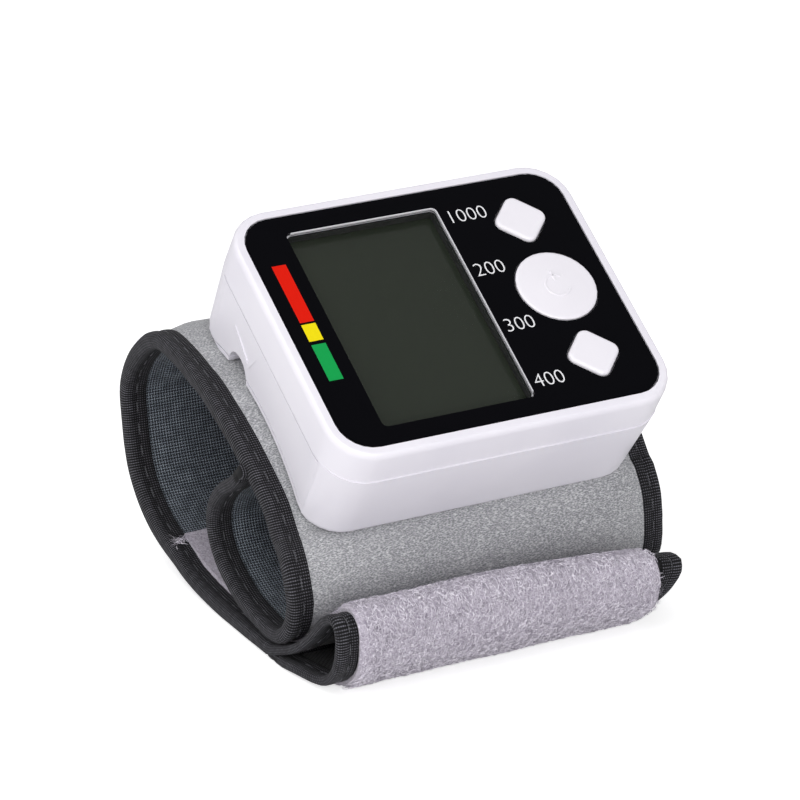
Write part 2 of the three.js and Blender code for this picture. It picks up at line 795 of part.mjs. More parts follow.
// Places are [share of the reach, share of the drop] from the top of the arch
const tailShares = [
  [-0.2, 0.19], [-0.072, 0.26], [0.071, 0.343], [0.153, 0.444], [0.186, 0.545], [0.166, 0.646],
  [0.108, 0.734], [0.013, 0.81], [-0.199, 0.865], [-0.453, 0.896], [-0.708, 0.9], [-0.898, 0.87],
  [-0.99, 0.797], [-1, 0.701], [-0.965, 0.608], [-0.88, 0.532], [-0.742, 0.472],
];
const archShares = [-0.38, -0.28, -0.19, -0.09, 0, 0.09, 0.19, 0.28, 0.37];
const backShares = [
  [0.652, -0.187], [0.752, -0.151], [0.866, -0.053], [0.944, 0.045], [0.987, 0.144], [1, 0.222],
  [0.978, 0.335], [0.95, 0.462], [0.911, 0.588], [0.849, 0.701], [0.762, 0.792], [0.654, 0.863],
  [0.525, 0.918], [0.384, 0.961], [0.244, 0.989], [0.104, 1], [-0.1, 1], [-0.37, 1], [-0.644, 1],
];

function place([reachShare, dropShare]) {
  const reach = reachShare < 0 ? cuffFrontReach : cuffReach;
  return new THREE.Vector3(0, anchor.x + reachShare * reach, anchor.y - dropShare * cuffDrop);
}

function archPlace(share) {
  const y = share * archSpan;
  const height = archCentre + Math.sqrt(midRadius ** 2 - y ** 2);
  const point = toRest(archOffset + y, height);
  return new THREE.Vector3(0, point.x, point.y);
}

// A path, its points' places as fractions of its length, and the stops that its rings share
function makePath(points) {
  const curve = new THREE.CatmullRomCurve3(points, false, 'centripetal');
  const perPoint = 24;
  curve.arcLengthDivisions = perPoint * (points.length - 1);
  const lengths = curve.getLengths();
  const total = lengths[lengths.length - 1];
  const stops = [];
  let [lastLength, lastTangent] = [0, curve.getTangentAt(0)];
  for (let i = 1; i < lengths.length - 1; i += 1) {
    const u = lengths[i] / total;
    const tangent = curve.getTangentAt(u);
    const turned = THREE.MathUtils.radToDeg(tangent.angleTo(lastTangent));
    if (turned > ribbonTurn || lengths[i] - lastLength > ribbonStep) {
      stops.push(u);
      [lastLength, lastTangent] = [lengths[i], tangent];
    }
  }
  return {
    total,
    stops,
    fraction: (index) => lengths[perPoint * index] / total,
    at: (u) => {
      const point = curve.getPointAt(u);
      const tangent = curve.getTangentAt(u);
      return { point, normal: new THREE.Vector3(0, -tangent.z, tangent.y) };
    },
  };
}

const cuffPath = makePath([
  ...tailShares.map(place), ...archShares.map(archPlace), ...backShares.map(place),
]);
const backFirst = tailShares.length + archShares.length;
const bladderStart = cuffPath.fraction(tailShares.length - bladderTailPoints);
const bladderEnd = cuffPath.fraction(backFirst + bladderBackPoints);
const pileStart = cuffPath.fraction(backFirst + pileBackPoints);
const swell = 0.05; // share of the cuff's length over which its stack thins out

function cuffStack(u) {
  const rise = THREE.MathUtils.smoothstep(u, bladderStart - swell, bladderStart);
  const fall = 1 - THREE.MathUtils.smoothstep(u, bladderEnd, bladderEnd + swell);
  return THREE.MathUtils.lerp(plainStack, bladderStack, rise * fall);
}

// A layer or tape along a path: the section is [x, offset] pairs at each fraction of it
function ribbon(path, start, end, section) {
  const least = fitGap / path.total;
  const between = path.stops.filter((u) => u > start + least && u < end - least);
  const rings = [start, ...between, end].map((u) => {
    const { point, normal } = path.at(u);
    return section(u).map(([x, offset]) => (
      new THREE.Vector3(x, 0, 0).add(point).addScaledVector(normal, offset)));
  });
  return skin(rings, section(start).map(([x, offset]) => new THREE.Vector2(x, offset)));
}

function layer(path, start, end, edges, offsets) {
  return ribbon(path, start, end, (u) => {
    const [left, right] = edges(u);
    const [low, high] = offsets(u);
    return [[left, low], [right, low], [right, high], [left, high]];
  });
}

// Folded tape over an edge. side is -1 for the left edge and 1 for the right one.
function tapeSection(edge, side, stack) {
  const inner = stack / 2 + fitGap;
  const outer = inner + tapeThickness;
  const fold = edge - side * tapeThickness;
  const lip = edge - side * tapeWidth;
  const round = edge - side * tapeRound;
  return [
    [round, -outer], [edge, tapeRound - outer], [edge, outer - tapeRound], [round, outer],
    [lip, outer], [lip, inner], [fold, inner], [fold, -inner], [lip, -inner], [lip, -outer],
  ];
}

// Folded tape over the end of a path, across its width
function endTape(path, end, direction, edges, stack) {
  const inner = stack / 2 + fitGap;
  const outer = inner + tapeThickness;
  const fold = tapeThickness;
  const along = [0, tapeWidth / 3, (2 * tapeWidth) / 3, tapeWidth];
  const walls = [fold, tapeWidth / 3, (2 * tapeWidth) / 3, tapeWidth];
  const profile = [
    ...along.map((s) => [s, outer]), ...walls.toReversed().map((s) => [s, inner]),
    ...walls.map((s) => [s, -inner]), ...along.toReversed().map((s) => [s, -outer]),
  ];
  const outline = profile.map(([s, offset]) => {
    const { point, normal } = path.at(end - (direction * s) / path.total);
    return point.addScaledVector(normal, offset);
  });
  const rings = edges.map((x) => outline.map((point) => new THREE.Vector3(x, point.y, point.z)));
  return skin(rings, outline.map((point) => new THREE.Vector2(point.y, point.z)));
}

const cuffWidth = housingWidth + 2 * (tapeWidth + cuffTapeClearance);
const cuffEdges = [cuffCentreX - cuffWidth / 2, cuffCentreX + cuffWidth / 2];
const foldClear = tapeThickness + fitGap;
const lipClear = tapeWidth + fitGap;

function inset(edges, margin) {
  return [edges[0] + margin, edges[1] - margin];
}

const cuffTail = foldClear / cuffPath.total;
const cuffSideStart = lipClear / cuffPath.total;

const plainCloth = layer(cuffPath, cuffTail, 1, () => inset(cuffEdges, foldClear), (u) => {
  const top = cuffStack(u) / 2;
  return [top - clothThickness, top];
});

// The air port passes through the cloth to the bladder
const portPassage = toSolid(rodZ(
  portX, portY, portRadius + fitGap, housingBottom - overrun, 0, smallSides,
)).rotate([restTilt, 0, 0]);
const cuffCloth = cut(plainCloth, portPassage);
const cuffLining = layer(cuffPath, cuffTail, 1, () => inset(cuffEdges, foldClear), (u) => {
  const bottom = -cuffStack(u) / 2;
  return [bottom, bottom + liningThickness];
});
const bladder = layer(
  cuffPath, bladderStart + swell / 4, bladderEnd - swell / 4,
  () => inset(cuffEdges, tapeWidth + bladderMargin),
  (u) => {
    const half = cuffStack(u) / 2 - fitGap;
    return [liningThickness - half, half - clothThickness];
  },
);
const cuffPile = layer(
  cuffPath, pileStart, 1, () => inset(cuffEdges, lipClear),
  (u) => {
    const face = -cuffStack(u) / 2 - fitGap;
    return [face - pileThickness, face];
  },
);
const cuffTapes = [-1, 1].map((side, i) => ribbon(
  cuffPath, cuffSideStart, 1, (u) => tapeSection(cuffEdges[i], side, cuffStack(u)),
));
const cuffEndTape = endTape(cuffPath, 0, -1, cuffEdges, cuffStack(0));

// Strap: from the hinge line on the table up, over and down into an open roll

const plainHalf = plainStack / 2 + fitGap + tapeThickness;
const tableZ = anchor.y - cuffDrop - plainHalf;
const hingeY = anchor.x - 0.644 * cuffFrontReach - fitGap;
const strapHalf = strapClothThickness / 2 + fitGap + tapeThickness;
const strapFloor = strapHalf / strapRise;
const rollFloor = (strapClothThickness / 2 + fitGap + pileThickness + fitGap / 3) / strapRise;

// Places are [share of the reach towards the front, share of the rise] from the hinge line
const strapShares = [
  [0, strapFloor], [0.12, strapFloor + 0.004], [0.21, 0.115], [0.3, 0.2], [0.4, 0.3],
  [0.49, 0.4], [0.6, 0.55], [0.7, 0.73], [0.79, 0.865], [0.885, 0.94], [0.96, 0.925],
  [0.998, 0.8], [0.985, 0.62], [0.925, 0.43], [0.835, 0.265], [0.735, 0.15],
  [0.64, rollFloor + 0.01], [0.55, rollFloor], [0.47, rollFloor - 0.004], [0.34, strapFloor],
];
const strapPath = makePath(strapShares.map(([reachShare, riseShare]) => new THREE.Vector3(
  0, hingeY - reachShare * strapReach, tableZ + riseShare * strapRise,
)));
const taperEnd = strapPath.fraction(8);

function strapEdges(u) {
  const narrow = [strapCentreX - strapWidth / 2, strapCentreX + strapWidth / 2];
  const t = THREE.MathUtils.smoothstep(u, 0, taperEnd);
  return cuffEdges.map((edge, i) => THREE.MathUtils.lerp(edge, narrow[i], t));
}

const strapSideEnd = 1 - lipClear / strapPath.total;
const strapCloth = layer(
  strapPath, 0, 1 - foldClear / strapPath.total, (u) => inset(strapEdges(u), foldClear),
  () => [-strapClothThickness / 2, strapClothThickness / 2],
);
const strapPile = layer(
  strapPath, foldClear / strapPath.total, strapSideEnd, (u) => inset(strapEdges(u), lipClear),
  () => {
    const face = -strapClothThickness / 2 - fitGap;
    return [face - pileThickness, face];
  },
);
const strapTapes = [-1, 1].map((side, i) => ribbon(
  strapPath, 0, strapSideEnd, (u) => tapeSection(strapEdges(u)[i], side, strapClothThickness),
));
const strapEndTape = endTape(strapPath, 1, 1, strapEdges(1), strapClothThickness);

// Scene graph

const product = new THREE.Group();
const unit = new THREE.Group();
unit.rotation.x = tiltAngle;
const band = new THREE.Group();
product.add(unit, band);

function addPart(group, name, shape, color, roughness, metalness = 0) {
  const material = new THREE.MeshStandardMaterial({ color, roughness, metalness });
  const geometry = toGeometry(shape);
  const shaded = toCreasedNormals(geometry, THREE.MathUtils.degToRad(creaseAngle));
  const mesh = new THREE.Mesh(shaded, material);
  mesh.name = name;
  group.add(mesh);
  return mesh;
}

addPart(unit, 'upper_housing', upperHousing(), colours.shell, 0.4);
addPart(unit, 'lower_housing', lowerHousing(), colours.shell, 0.4);
addPart(unit, 'battery_door', batteryDoor(), colours.shell, 0.4);
addPart(unit, 'face_panel', facePanel(), colours.panel, 0.15);
const lens = addPart(unit, 'window_lens', windowLens(), colours.lens, 0.05);
lens.material.transparent = true;
lens.material.opacity = 0.25;
addPart(unit, 'power_key', powerKey(), colours.shell, 0.35);
addPart(unit, 'upper_key', smallKey(smallKeyPlaces[0]), colours.shell, 0.35);
addPart(unit, 'lower_key', smallKey(smallKeyPlaces[1]), colours.shell, 0.35);
addPart(unit, 'display_glass', glassPlate(), colours.glass, 0.3);
addPart(unit, 'display_frame', glassFrame(), colours.frame, 0.5);
addPart(unit, 'display_connector', zebraStrip(), colours.rubber, 0.8);
addPart(unit, 'circuit_board', circuitBoard(), colours.board, 0.5);
addPart(unit, 'power_switch', tactSwitch(0), colours.part, 0.4);
addPart(unit, 'upper_switch', tactSwitch(smallKeyPlaces[0]), colours.part, 0.4);
addPart(unit, 'lower_switch', tactSwitch(smallKeyPlaces[1]), colours.part, 0.4);
addPart(unit, 'cell_outer', cell(cellX1, 1), colours.cell, 0.35, 0.3);
addPart(unit, 'cell_inner', cell(cellX2, -1), colours.cell, 0.35, 0.3);
addPart(unit, 'contact_link', contactPlate(cellX1, cellX2, -1), colours.metal, 0.3, 1);
addPart(unit, 'contact_plus', contactPlate(cellX1, cellX1, 1), colours.metal, 0.3, 1);
addPart(unit, 'contact_minus', contactPlate(cellX2, cellX2, 1), colours.metal, 0.3, 1);
addPart(unit, 'spring_outer', contactSpring(cellX1, -1), colours.metal, 0.3, 1);
addPart(unit, 'spring_inner', contactSpring(cellX2, 1), colours.metal, 0.3, 1);
addPart(unit, 'pump_motor', pumpMotor(), colours.metal, 0.3, 1);
addPart(unit, 'pump_head', pumpHead(), colours.part, 0.5);
addPart(unit, 'exhaust_valve', exhaustValve(), colours.part, 0.5);
addPart(unit, 'air_manifold', airManifold(), colours.part, 0.5);
const [barbX, barbDY] = [portX - manifoldWidth / 2 - fitGap / 2, manifoldDepth / 4];
const headEnd = headFront + pumpHeadLength + fitGap;
addPart(unit, 'pump_hose', hose([
  new THREE.Vector3(pumpX, headEnd, pumpZ),
  new THREE.Vector3(pumpX, headEnd + nozzleLength, pumpZ),
  new THREE.Vector3((pumpX + barbX) / 2, portY + barbDY + nozzleLength / 3, pumpZ),
  new THREE.Vector3(barbX - nozzleLength, portY + barbDY, manifoldZ + barbDY),
  new THREE.Vector3(barbX, portY + barbDY, manifoldZ + barbDY),
]), colours.rubber, 0.6);
addPart(unit, 'valve_hose', hose([
  new THREE.Vector3(valveX, valveEnd + fitGap, valveZ),
  new THREE.Vector3(valveX, valveEnd + fitGap + nozzleLength, valveZ),
  new THREE.Vector3(valveX + hoseRadius, portY - barbDY - hoseRadius, manifoldZ - barbDY),
  new THREE.Vector3(barbX - nozzleLength, portY - barbDY, manifoldZ - barbDY),
  new THREE.Vector3(barbX, portY - barbDY, manifoldZ - barbDY),
]), colours.rubber, 0.6);
const sensorTop = boardUnder - fitGap;
const sensorHalf = sensorSide / 2;
addPart(unit, 'pressure_sensor', block(
  serviceX - sensorHalf, serviceX + sensorHalf, -sensorHalf, sensorHalf,
  sensorTop - sensorHeight, sensorTop,
), colours.part, 0.4);
addPart(unit, 'buzzer', rodZ(
  serviceX, -boardDepth / 4 - buzzerRadius, buzzerRadius, sensorTop - buzzerHeight, sensorTop,
), colours.part, 0.4);
screwPlaces.forEach((spot, i) => {
  addPart(unit, `case_screw_${i + 1}`, screw(spot), colours.metal, 0.3, 1);
});
addPart(unit, 'cuff_plate', cuffPlate(), colours.shell, 0.5);

addPart(band, 'cuff_cloth', cuffCloth, colours.cloth, 0.95);
addPart(band, 'cuff_lining', cuffLining, colours.lining, 0.9);
addPart(band, 'air_bladder', bladder, colours.bladder, 0.7);
addPart(band, 'cuff_pile', cuffPile, colours.pile, 1);
addPart(band, 'cuff_tape_left', cuffTapes[0], colours.tape, 0.9);
addPart(band, 'cuff_tape_right', cuffTapes[1], colours.tape, 0.9);
addPart(band, 'cuff_tape_end', cuffEndTape, colours.tape, 0.9);
addPart(band, 'strap_cloth', strapCloth, colours.cloth, 0.95);
addPart(band, 'strap_pile', strapPile, colours.pile, 1);
addPart(band, 'strap_tape_left', strapTapes[0], colours.tape, 0.9);
addPart(band, 'strap_tape_right', strapTapes[1], colours.tape, 0.9);
addPart(band, 'strap_tape_end', strapEndTape, colours.tape, 0.9);

// The origin is the centre of the bottom of the whole product's box
const box = new THREE.Box3().setFromObject(product, true);
const middle = box.getCenter(new THREE.Vector3());
unit.position.set(-middle.x, -middle.y, -box.min.z);
band.position.copy(unit.position);

export default product;
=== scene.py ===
"""Wrist blood pressure monitor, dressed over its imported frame.

The measuring unit is a white moulded case with a black glossy face. The cuff is a taped cloth band
that curls round the wrist, and its closing strap lies forward on the table in a loose roll.
"""

from __future__ import annotations

import json
import logging
import math
import random
from collections.abc import Callable, Iterator
from contextlib import contextmanager
from dataclasses import dataclass, field
from enum import Enum

import bpy
from mathutils import Matrix, Vector, noise

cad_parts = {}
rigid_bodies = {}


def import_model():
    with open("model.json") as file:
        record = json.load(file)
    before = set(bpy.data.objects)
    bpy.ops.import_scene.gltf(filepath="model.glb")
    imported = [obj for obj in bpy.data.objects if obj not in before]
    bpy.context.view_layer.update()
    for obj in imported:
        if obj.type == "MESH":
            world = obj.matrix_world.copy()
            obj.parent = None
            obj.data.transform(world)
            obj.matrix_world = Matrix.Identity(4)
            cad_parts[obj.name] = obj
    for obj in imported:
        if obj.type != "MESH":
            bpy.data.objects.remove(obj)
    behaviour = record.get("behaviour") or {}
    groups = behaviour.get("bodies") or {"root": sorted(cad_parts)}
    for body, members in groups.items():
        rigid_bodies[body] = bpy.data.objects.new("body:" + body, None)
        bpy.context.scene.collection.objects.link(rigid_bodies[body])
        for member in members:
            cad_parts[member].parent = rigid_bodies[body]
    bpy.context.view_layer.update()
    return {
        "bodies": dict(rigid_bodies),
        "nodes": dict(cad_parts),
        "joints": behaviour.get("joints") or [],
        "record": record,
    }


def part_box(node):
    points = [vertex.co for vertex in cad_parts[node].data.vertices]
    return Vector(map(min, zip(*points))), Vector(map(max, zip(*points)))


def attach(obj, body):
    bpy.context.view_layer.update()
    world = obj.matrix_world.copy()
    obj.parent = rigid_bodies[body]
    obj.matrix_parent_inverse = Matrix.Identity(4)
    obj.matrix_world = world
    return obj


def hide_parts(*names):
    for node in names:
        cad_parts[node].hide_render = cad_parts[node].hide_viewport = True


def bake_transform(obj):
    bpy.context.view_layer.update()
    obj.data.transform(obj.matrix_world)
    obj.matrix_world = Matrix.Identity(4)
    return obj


log = logging.getLogger("wrist_monitor")

MM = 0.001
UV_UNIT = 100.0  # millimetres in one unit of a cloth's own UV map
WAVE = math.tau / 20  # scale at which a wave texture repeats once in a unit
REST_TILT = math.radians(32.9)
SHARP_DEGREES = 32.0  # above this angle an edge of a moulded piece stays sharp
CLOTH_DEGREES = 60.0
Place = tuple[float, float]
Triple = tuple[float, float, float]
Section = Callable[[float], list[Place]]
Bend = Callable[[float, float, Vector, Vector], Vector]
Piece = bpy.types.Object
Looks = dict[str, bpy.types.Material]


class Side(Enum):
    """An edge of the band."""

    LEFT = -1
    RIGHT = 1


# Colour and node helpers


def linear(code: str, gain: float = 1.0) -> tuple[float, float, float, float]:
    """Turn an sRGB hex colour into a linear one.

    Args:
        code: Colour as "#RRGGBB".
        gain: Factor on the linear channels.

    Returns:
        Linear red, green, blue and an alpha of 1.
    """
    channels = [int(code[i : i + 2], 16) / 255 for i in (1, 3, 5)]
    red, green, blue = [
        gain * (value / 12.92 if value <= 0.04045 else ((value + 0.055) / 1.055) ** 2.4)
        for value in channels
    ]
    return red, green, blue, 1.0


def add_node(
    tree: bpy.types.NodeTree,
    kind: str,
    inputs: dict | None = None,
    stops: tuple[tuple[float, str], ...] = (),
    out: str | int = 0,
    **settings: str | int | float | bool,
) -> bpy.types.NodeSocket | None:
    """Add a shader node with its settings, values and links.

    Args:
        tree: Node tree that gets the node.
        kind: Blender's name of the node's type, after "ShaderNode".
        inputs: Value or output socket for each input, by its name or index.
        stops: Position and sRGB hex colour of each stop of a colour ramp.
        out: Name or index of the output that is wanted.
        **settings: Properties of the node.

    Returns:
        The wanted output, or None where the node has none.
    """
    node = tree.nodes.new(f"ShaderNode{kind}")
    for key, value in settings.items():
        setattr(node, key, value)
    for key, value in (inputs or {}).items():
        if isinstance(value, bpy.types.NodeSocket):
            tree.links.new(value, node.inputs[key])
        else:
            node.inputs[key].default_value = value
    if stops:
        elements = node.color_ramp.elements
        while len(elements) < len(stops):
            elements.new(0.5)
        for element, (position, code) in zip(elements, stops):
            element.position, element.color = position, linear(code)
    return node.outputs[out] if node.outputs else None


def new_material(name: str) -> tuple[bpy.types.Material, bpy.types.NodeTree]:
    """Start a material with an empty node tree.

    Args:
        name: Name of the material.

    Returns:
        The material and its node tree.
    """
    material = bpy.data.materials.new(name)
    material.use_nodes = True
    material.node_tree.nodes.clear()
    return material, material.node_tree


# Finishes


@dataclass(frozen=True)
class Finish:
    """A finish: one material with one surface shader."""

    name: str
    on_cloth = False  # whether its pattern follows the cloth's own UV map

    def surface(self, tree: bpy.types.NodeTree, place: bpy.types.NodeSocket) -> dict:
        """Draw the finish's patterns.

        Args:
            tree: Node tree of the material.
            place: Object coordinates, or the cloth's UV map.

        Returns:
            The shader's inputs.
        """
        raise NotImplementedError

    def build(self) -> bpy.types.Material:
        """Make the material.

        Returns:
            The material, whose patterns and shader are the finish's own.
        """
        material, tree = new_material(self.name)
        if self.on_cloth:
            place = add_node(tree, "UVMap", uv_map="cloth")
        else:
            place = add_node(tree, "TexCoord", out="Object")
        shader = add_node(tree, "BsdfPrincipled", self.surface(tree, place))
        add_node(tree, "OutputMaterial", {"Surface": shader})
        return material


@dataclass(frozen=True)
class MouldedPlastic(Finish):
    """ABS moulded in a finely eroded tool: an even satin skin with a soft highlight."""

    name: str = "abs_moulded_white"
    colour: str = "#E6E3EA"
    shade: str = "#E1DEE6"
    roughness: float = 0.36
    grain_mm: float = 0.35
    depth_mm: float = 0.006

    def surface(self, tree: bpy.types.NodeTree, place: bpy.types.NodeSocket) -> dict:
        """Draw a faint cloudy tone and a fine spark-eroded grain.

        Args:
            tree: Node tree of the material.
            place: Object coordinates.

        Returns:
            The shader's inputs.
        """
        cloud = add_node(tree, "TexNoise", {"Vector": place, "Scale": 1 / (22 * MM), "Detail": 2.0})
        grain_scale = 1 / (self.grain_mm * MM)
        grain = add_node(tree, "TexNoise", {"Vector": place, "Scale": grain_scale, "Detail": 3.0})
        low, high = self.roughness - 0.05, self.roughness + 0.05
        bump = {"Height": grain, "Distance": self.depth_mm * MM, "Strength": 0.6}
        return {
            "Base Color": add_node(
                tree, "ValToRGB", {"Fac": cloud}, ((0.35, self.shade), (0.65, self.colour))
            ),
            "Roughness": add_node(tree, "MapRange", {"Value": grain, "To Min": low, "To Max": high}),
            "IOR": 1.53,
            "Normal": add_node(tree, "Bump", bump),
        }


@dataclass(frozen=True)
class BackPrintedSheet(Finish):
    """Acrylic sheet printed from behind: a deep colour under a hard clear gloss."""

    name: str = "acrylic_back_printed_black"
    colour: str = "#050508"
    roughness: float = 0.1
    level: float = 0.06

    def surface(self, tree: bpy.types.NodeTree, place: bpy.types.NodeSocket) -> dict:
        """Draw the deep colour and a few faint rubbing marks in its gloss.

        Args:
            tree: Node tree of the material.
            place: Object coordinates.

        Returns:
            The shader's inputs.
        """
        rub = add_node(tree, "TexNoise", {"Vector": place, "Scale": 1 / (6 * MM), "Detail": 4.0})
        low, high = self.roughness * 0.6, self.roughness * 1.4
        tint = {"Fac": rub, "Color1": linear(self.colour), "Color2": linear(self.colour, 1.25)}
        return {
            "Base Color": add_node(tree, "MixRGB", tint),
            "Roughness": add_node(tree, "MapRange", {"Value": rub, "To Min": low, "To Max": high}),
            "IOR": 1.49,
            "Specular IOR Level": self.level,
        }


@dataclass(frozen=True)
class ClearAcrylic(Finish):
    """Polished clear acrylic: almost only its reflections show."""

    name: str = "acrylic_clear"
    tint: str = "#1C211D"
    cover: float = 0.05

    def surface(self, tree: bpy.types.NodeTree, place: bpy.types.NodeSocket) -> dict:
        """Draw a clear sheet whose gloss is slightly uneven.

        Args:
            tree: Node tree of the material.
            place: Object coordinates.

        Returns:
            The shader's inputs.
        """
        haze = add_node(tree, "TexNoise", {"Vector": place, "Scale": 1 / (9 * MM)})
        return {
            "Base Color": linear(self.tint),
            "Roughness": add_node(tree, "MapRange", {"Value": haze, "To Min": 0.05, "To Max": 0.12}),
            "IOR": 1.49,
            "Specular IOR Level": 0.12,
            "Alpha": self.cover,
        }


@dataclass(frozen=True)
class DisplayGlass(Finish):
    """Liquid crystal glass with its polariser on: a flat dark green-grey."""

    name: str = "liquid_crystal_glass"
    colour: str = "#2E332A"
    shade: str = "#292E26"

    def surface(self, tree: bpy.types.NodeTree, place: bpy.types.NodeSocket) -> dict:
        """Draw dark even glass with a slow change of tone across it.

        Args:
            tree: Node tree of the material.
            place: Object coordinates.

        Returns:
            The shader's inputs.
        """
        slow = add_node(tree, "TexNoise", {"Vector": place, "Scale": 1 / (45 * MM), "Detail": 0.0})
        return {
            "Base Color": add_node(
                tree, "ValToRGB", {"Fac": slow}, ((0.3, self.shade), (0.7, self.colour))
            ),
            "Roughness": 0.16,
            "IOR": 1.52,
            "Specular IOR Level": 0.4,
        }


@dataclass(frozen=True)
class PrintedInk(Finish):
    """Screen-printed ink: flat and strong, with the slight tooth of the mesh."""

    colour: str

    def surface(self, tree: bpy.types.NodeTree, place: bpy.types.NodeSocket) -> dict:
        """Draw opaque ink whose tone varies a little.

        Args:
            tree: Node tree of the material.
            place: Object coordinates.

        Returns:
            The shader's inputs.
        """
        tooth = add_node(tree, "TexNoise", {"Vector": place, "Scale": 1 / (0.4 * MM)})
        tone = {"Fac": tooth, "Color1": linear(self.colour, 0.93), "Color2": linear(self.colour)}
        return {
            "Base Color": add_node(tree, "MixRGB", tone),
            "Roughness": 0.4,
            "Specular IOR Level": 0.1,
        }


@dataclass(frozen=True)
class BrushedKnit(Finish):
    """Polyester loop knit, brushed: a dull felted face of short raised fibres."""

    name: str = "polyester_brushed_knit_grey"
    dark: str = "#6E7073"
    middle: str = "#9F9FA2"
    light: str = "#C9C9CB"
    fibre_mm: float = 0.18
    loop_mm: float = 0.19
    patch_mm: float = 7.0
    depth_mm: float = 0.12

    def surface(self, tree: bpy.types.NodeTree, place: bpy.types.NodeSocket) -> dict:
        """Draw mottled grey felt with raised fibres and a soft sheen.

        Args:
            tree: Node tree of the material.
            place: Object coordinates.

        Returns:
            The shader's inputs.
        """
        drawn = add_node(tree, "Mapping", {"Vector": place, "Scale": (0.4, 1.0, 1.0)})
        fibre_scale, loop_scale = 1 / (self.fibre_mm * MM), 1 / (self.loop_mm * MM)
        fibre = add_node(
            tree, "TexNoise", {"Vector": drawn, "Scale": fibre_scale, "Detail": 2.0, "Roughness": 0.7}
        )
        loops = add_node(
            tree,
            "TexVoronoi",
            {"Vector": drawn, "Scale": loop_scale, "Randomness": 0.9},
            feature="SMOOTH_F1",
        )
        patch_scale = 1 / (self.patch_mm * MM)
        patch = add_node(tree, "TexNoise", {"Vector": drawn, "Scale": patch_scale, "Detail": 2.0})
        fine = add_node(tree, "Math", {0: fibre, 1: loops, 2: 0.28}, operation="MULTIPLY_ADD")
        broad = add_node(tree, "MapRange", {"Value": patch, "To Min": -0.04, "To Max": 0.04})
        whole = add_node(tree, "Math", {0: fine, 1: broad})
        tones = ((0.36, self.dark), (0.52, self.middle), (0.7, self.light))
        bump = {"Height": fine, "Distance": self.depth_mm * MM, "Strength": 0.8}
        return {
            "Base Color": add_node(tree, "ValToRGB", {"Fac": whole}, tones),
            "Roughness": 0.95,
            "Specular IOR Level": 0.2,
            "Sheen Weight": 0.25,
            "Sheen Roughness": 0.6,
            "Normal": add_node(tree, "Bump", bump),
        }


@dataclass(frozen=True)
class PlainWeave(Finish):
    """Nylon oxford cloth: coarse flat threads over and under, with painted shade between them and a
    painted blue-grey highlight on their crowns.
    """

    name: str = "nylon_oxford_dark"
    # The next three colours are painted shade between the threads, the threads' own colour, and a painted
    # highlight on their crowns
    gap: str = "#111317"
    thread: str = "#4D5560"
    glint: str = "#C2CCD7"
    pitch_mm: float = 0.62
    depth_mm: float = 0.16
    slub_mm: float = 2.2
    on_cloth = True

    def surface(self, tree: bpy.types.NodeTree, place: bpy.types.NodeSocket) -> dict:
        """Draw woven cloth, its threads at the given pitch.

        Args:
            tree: Node tree of the material.
            place: The cloth's UV map.

        Returns:
            The shader's inputs.
        """
        cells = UV_UNIT / self.pitch_mm
        wave = {"Vector": place, "Scale": cells * WAVE, "Distortion": 0.0}
        warp, weft = [add_node(tree, "TexWave", wave, bands_direction=way) for way in "XY"]
        over = add_node(tree, "TexChecker", {"Vector": place, "Scale": cells}, out="Fac")
        height = add_node(tree, "MixRGB", {"Fac": over, "Color1": warp, "Color2": weft})
        slub_scale = UV_UNIT / self.slub_mm
        slub = add_node(tree, "TexNoise", {"Vector": place, "Scale": slub_scale, "Detail": 3.0})
        even = add_node(tree, "MapRange", {"Value": slub, "To Min": 0.36, "To Max": 0.64})
        level = add_node(tree, "Math", {0: height, 1: even}, operation="MULTIPLY")
        # Colour follows the threads' height: painted shade low in the gaps, a painted highlight on the
        # crowns
        tones = ((0.12, self.gap), (0.36, self.thread), (0.62, self.glint))
        bump = {"Height": height, "Distance": self.depth_mm * MM, "Strength": 0.7}
        return {
            "Base Color": add_node(tree, "ValToRGB", {"Fac": level}, tones),
            "Roughness": 0.62,
            "Specular IOR Level": 0.35,
            "Sheen Weight": 0.1,
            "Normal": add_node(tree, "Bump", bump),
        }


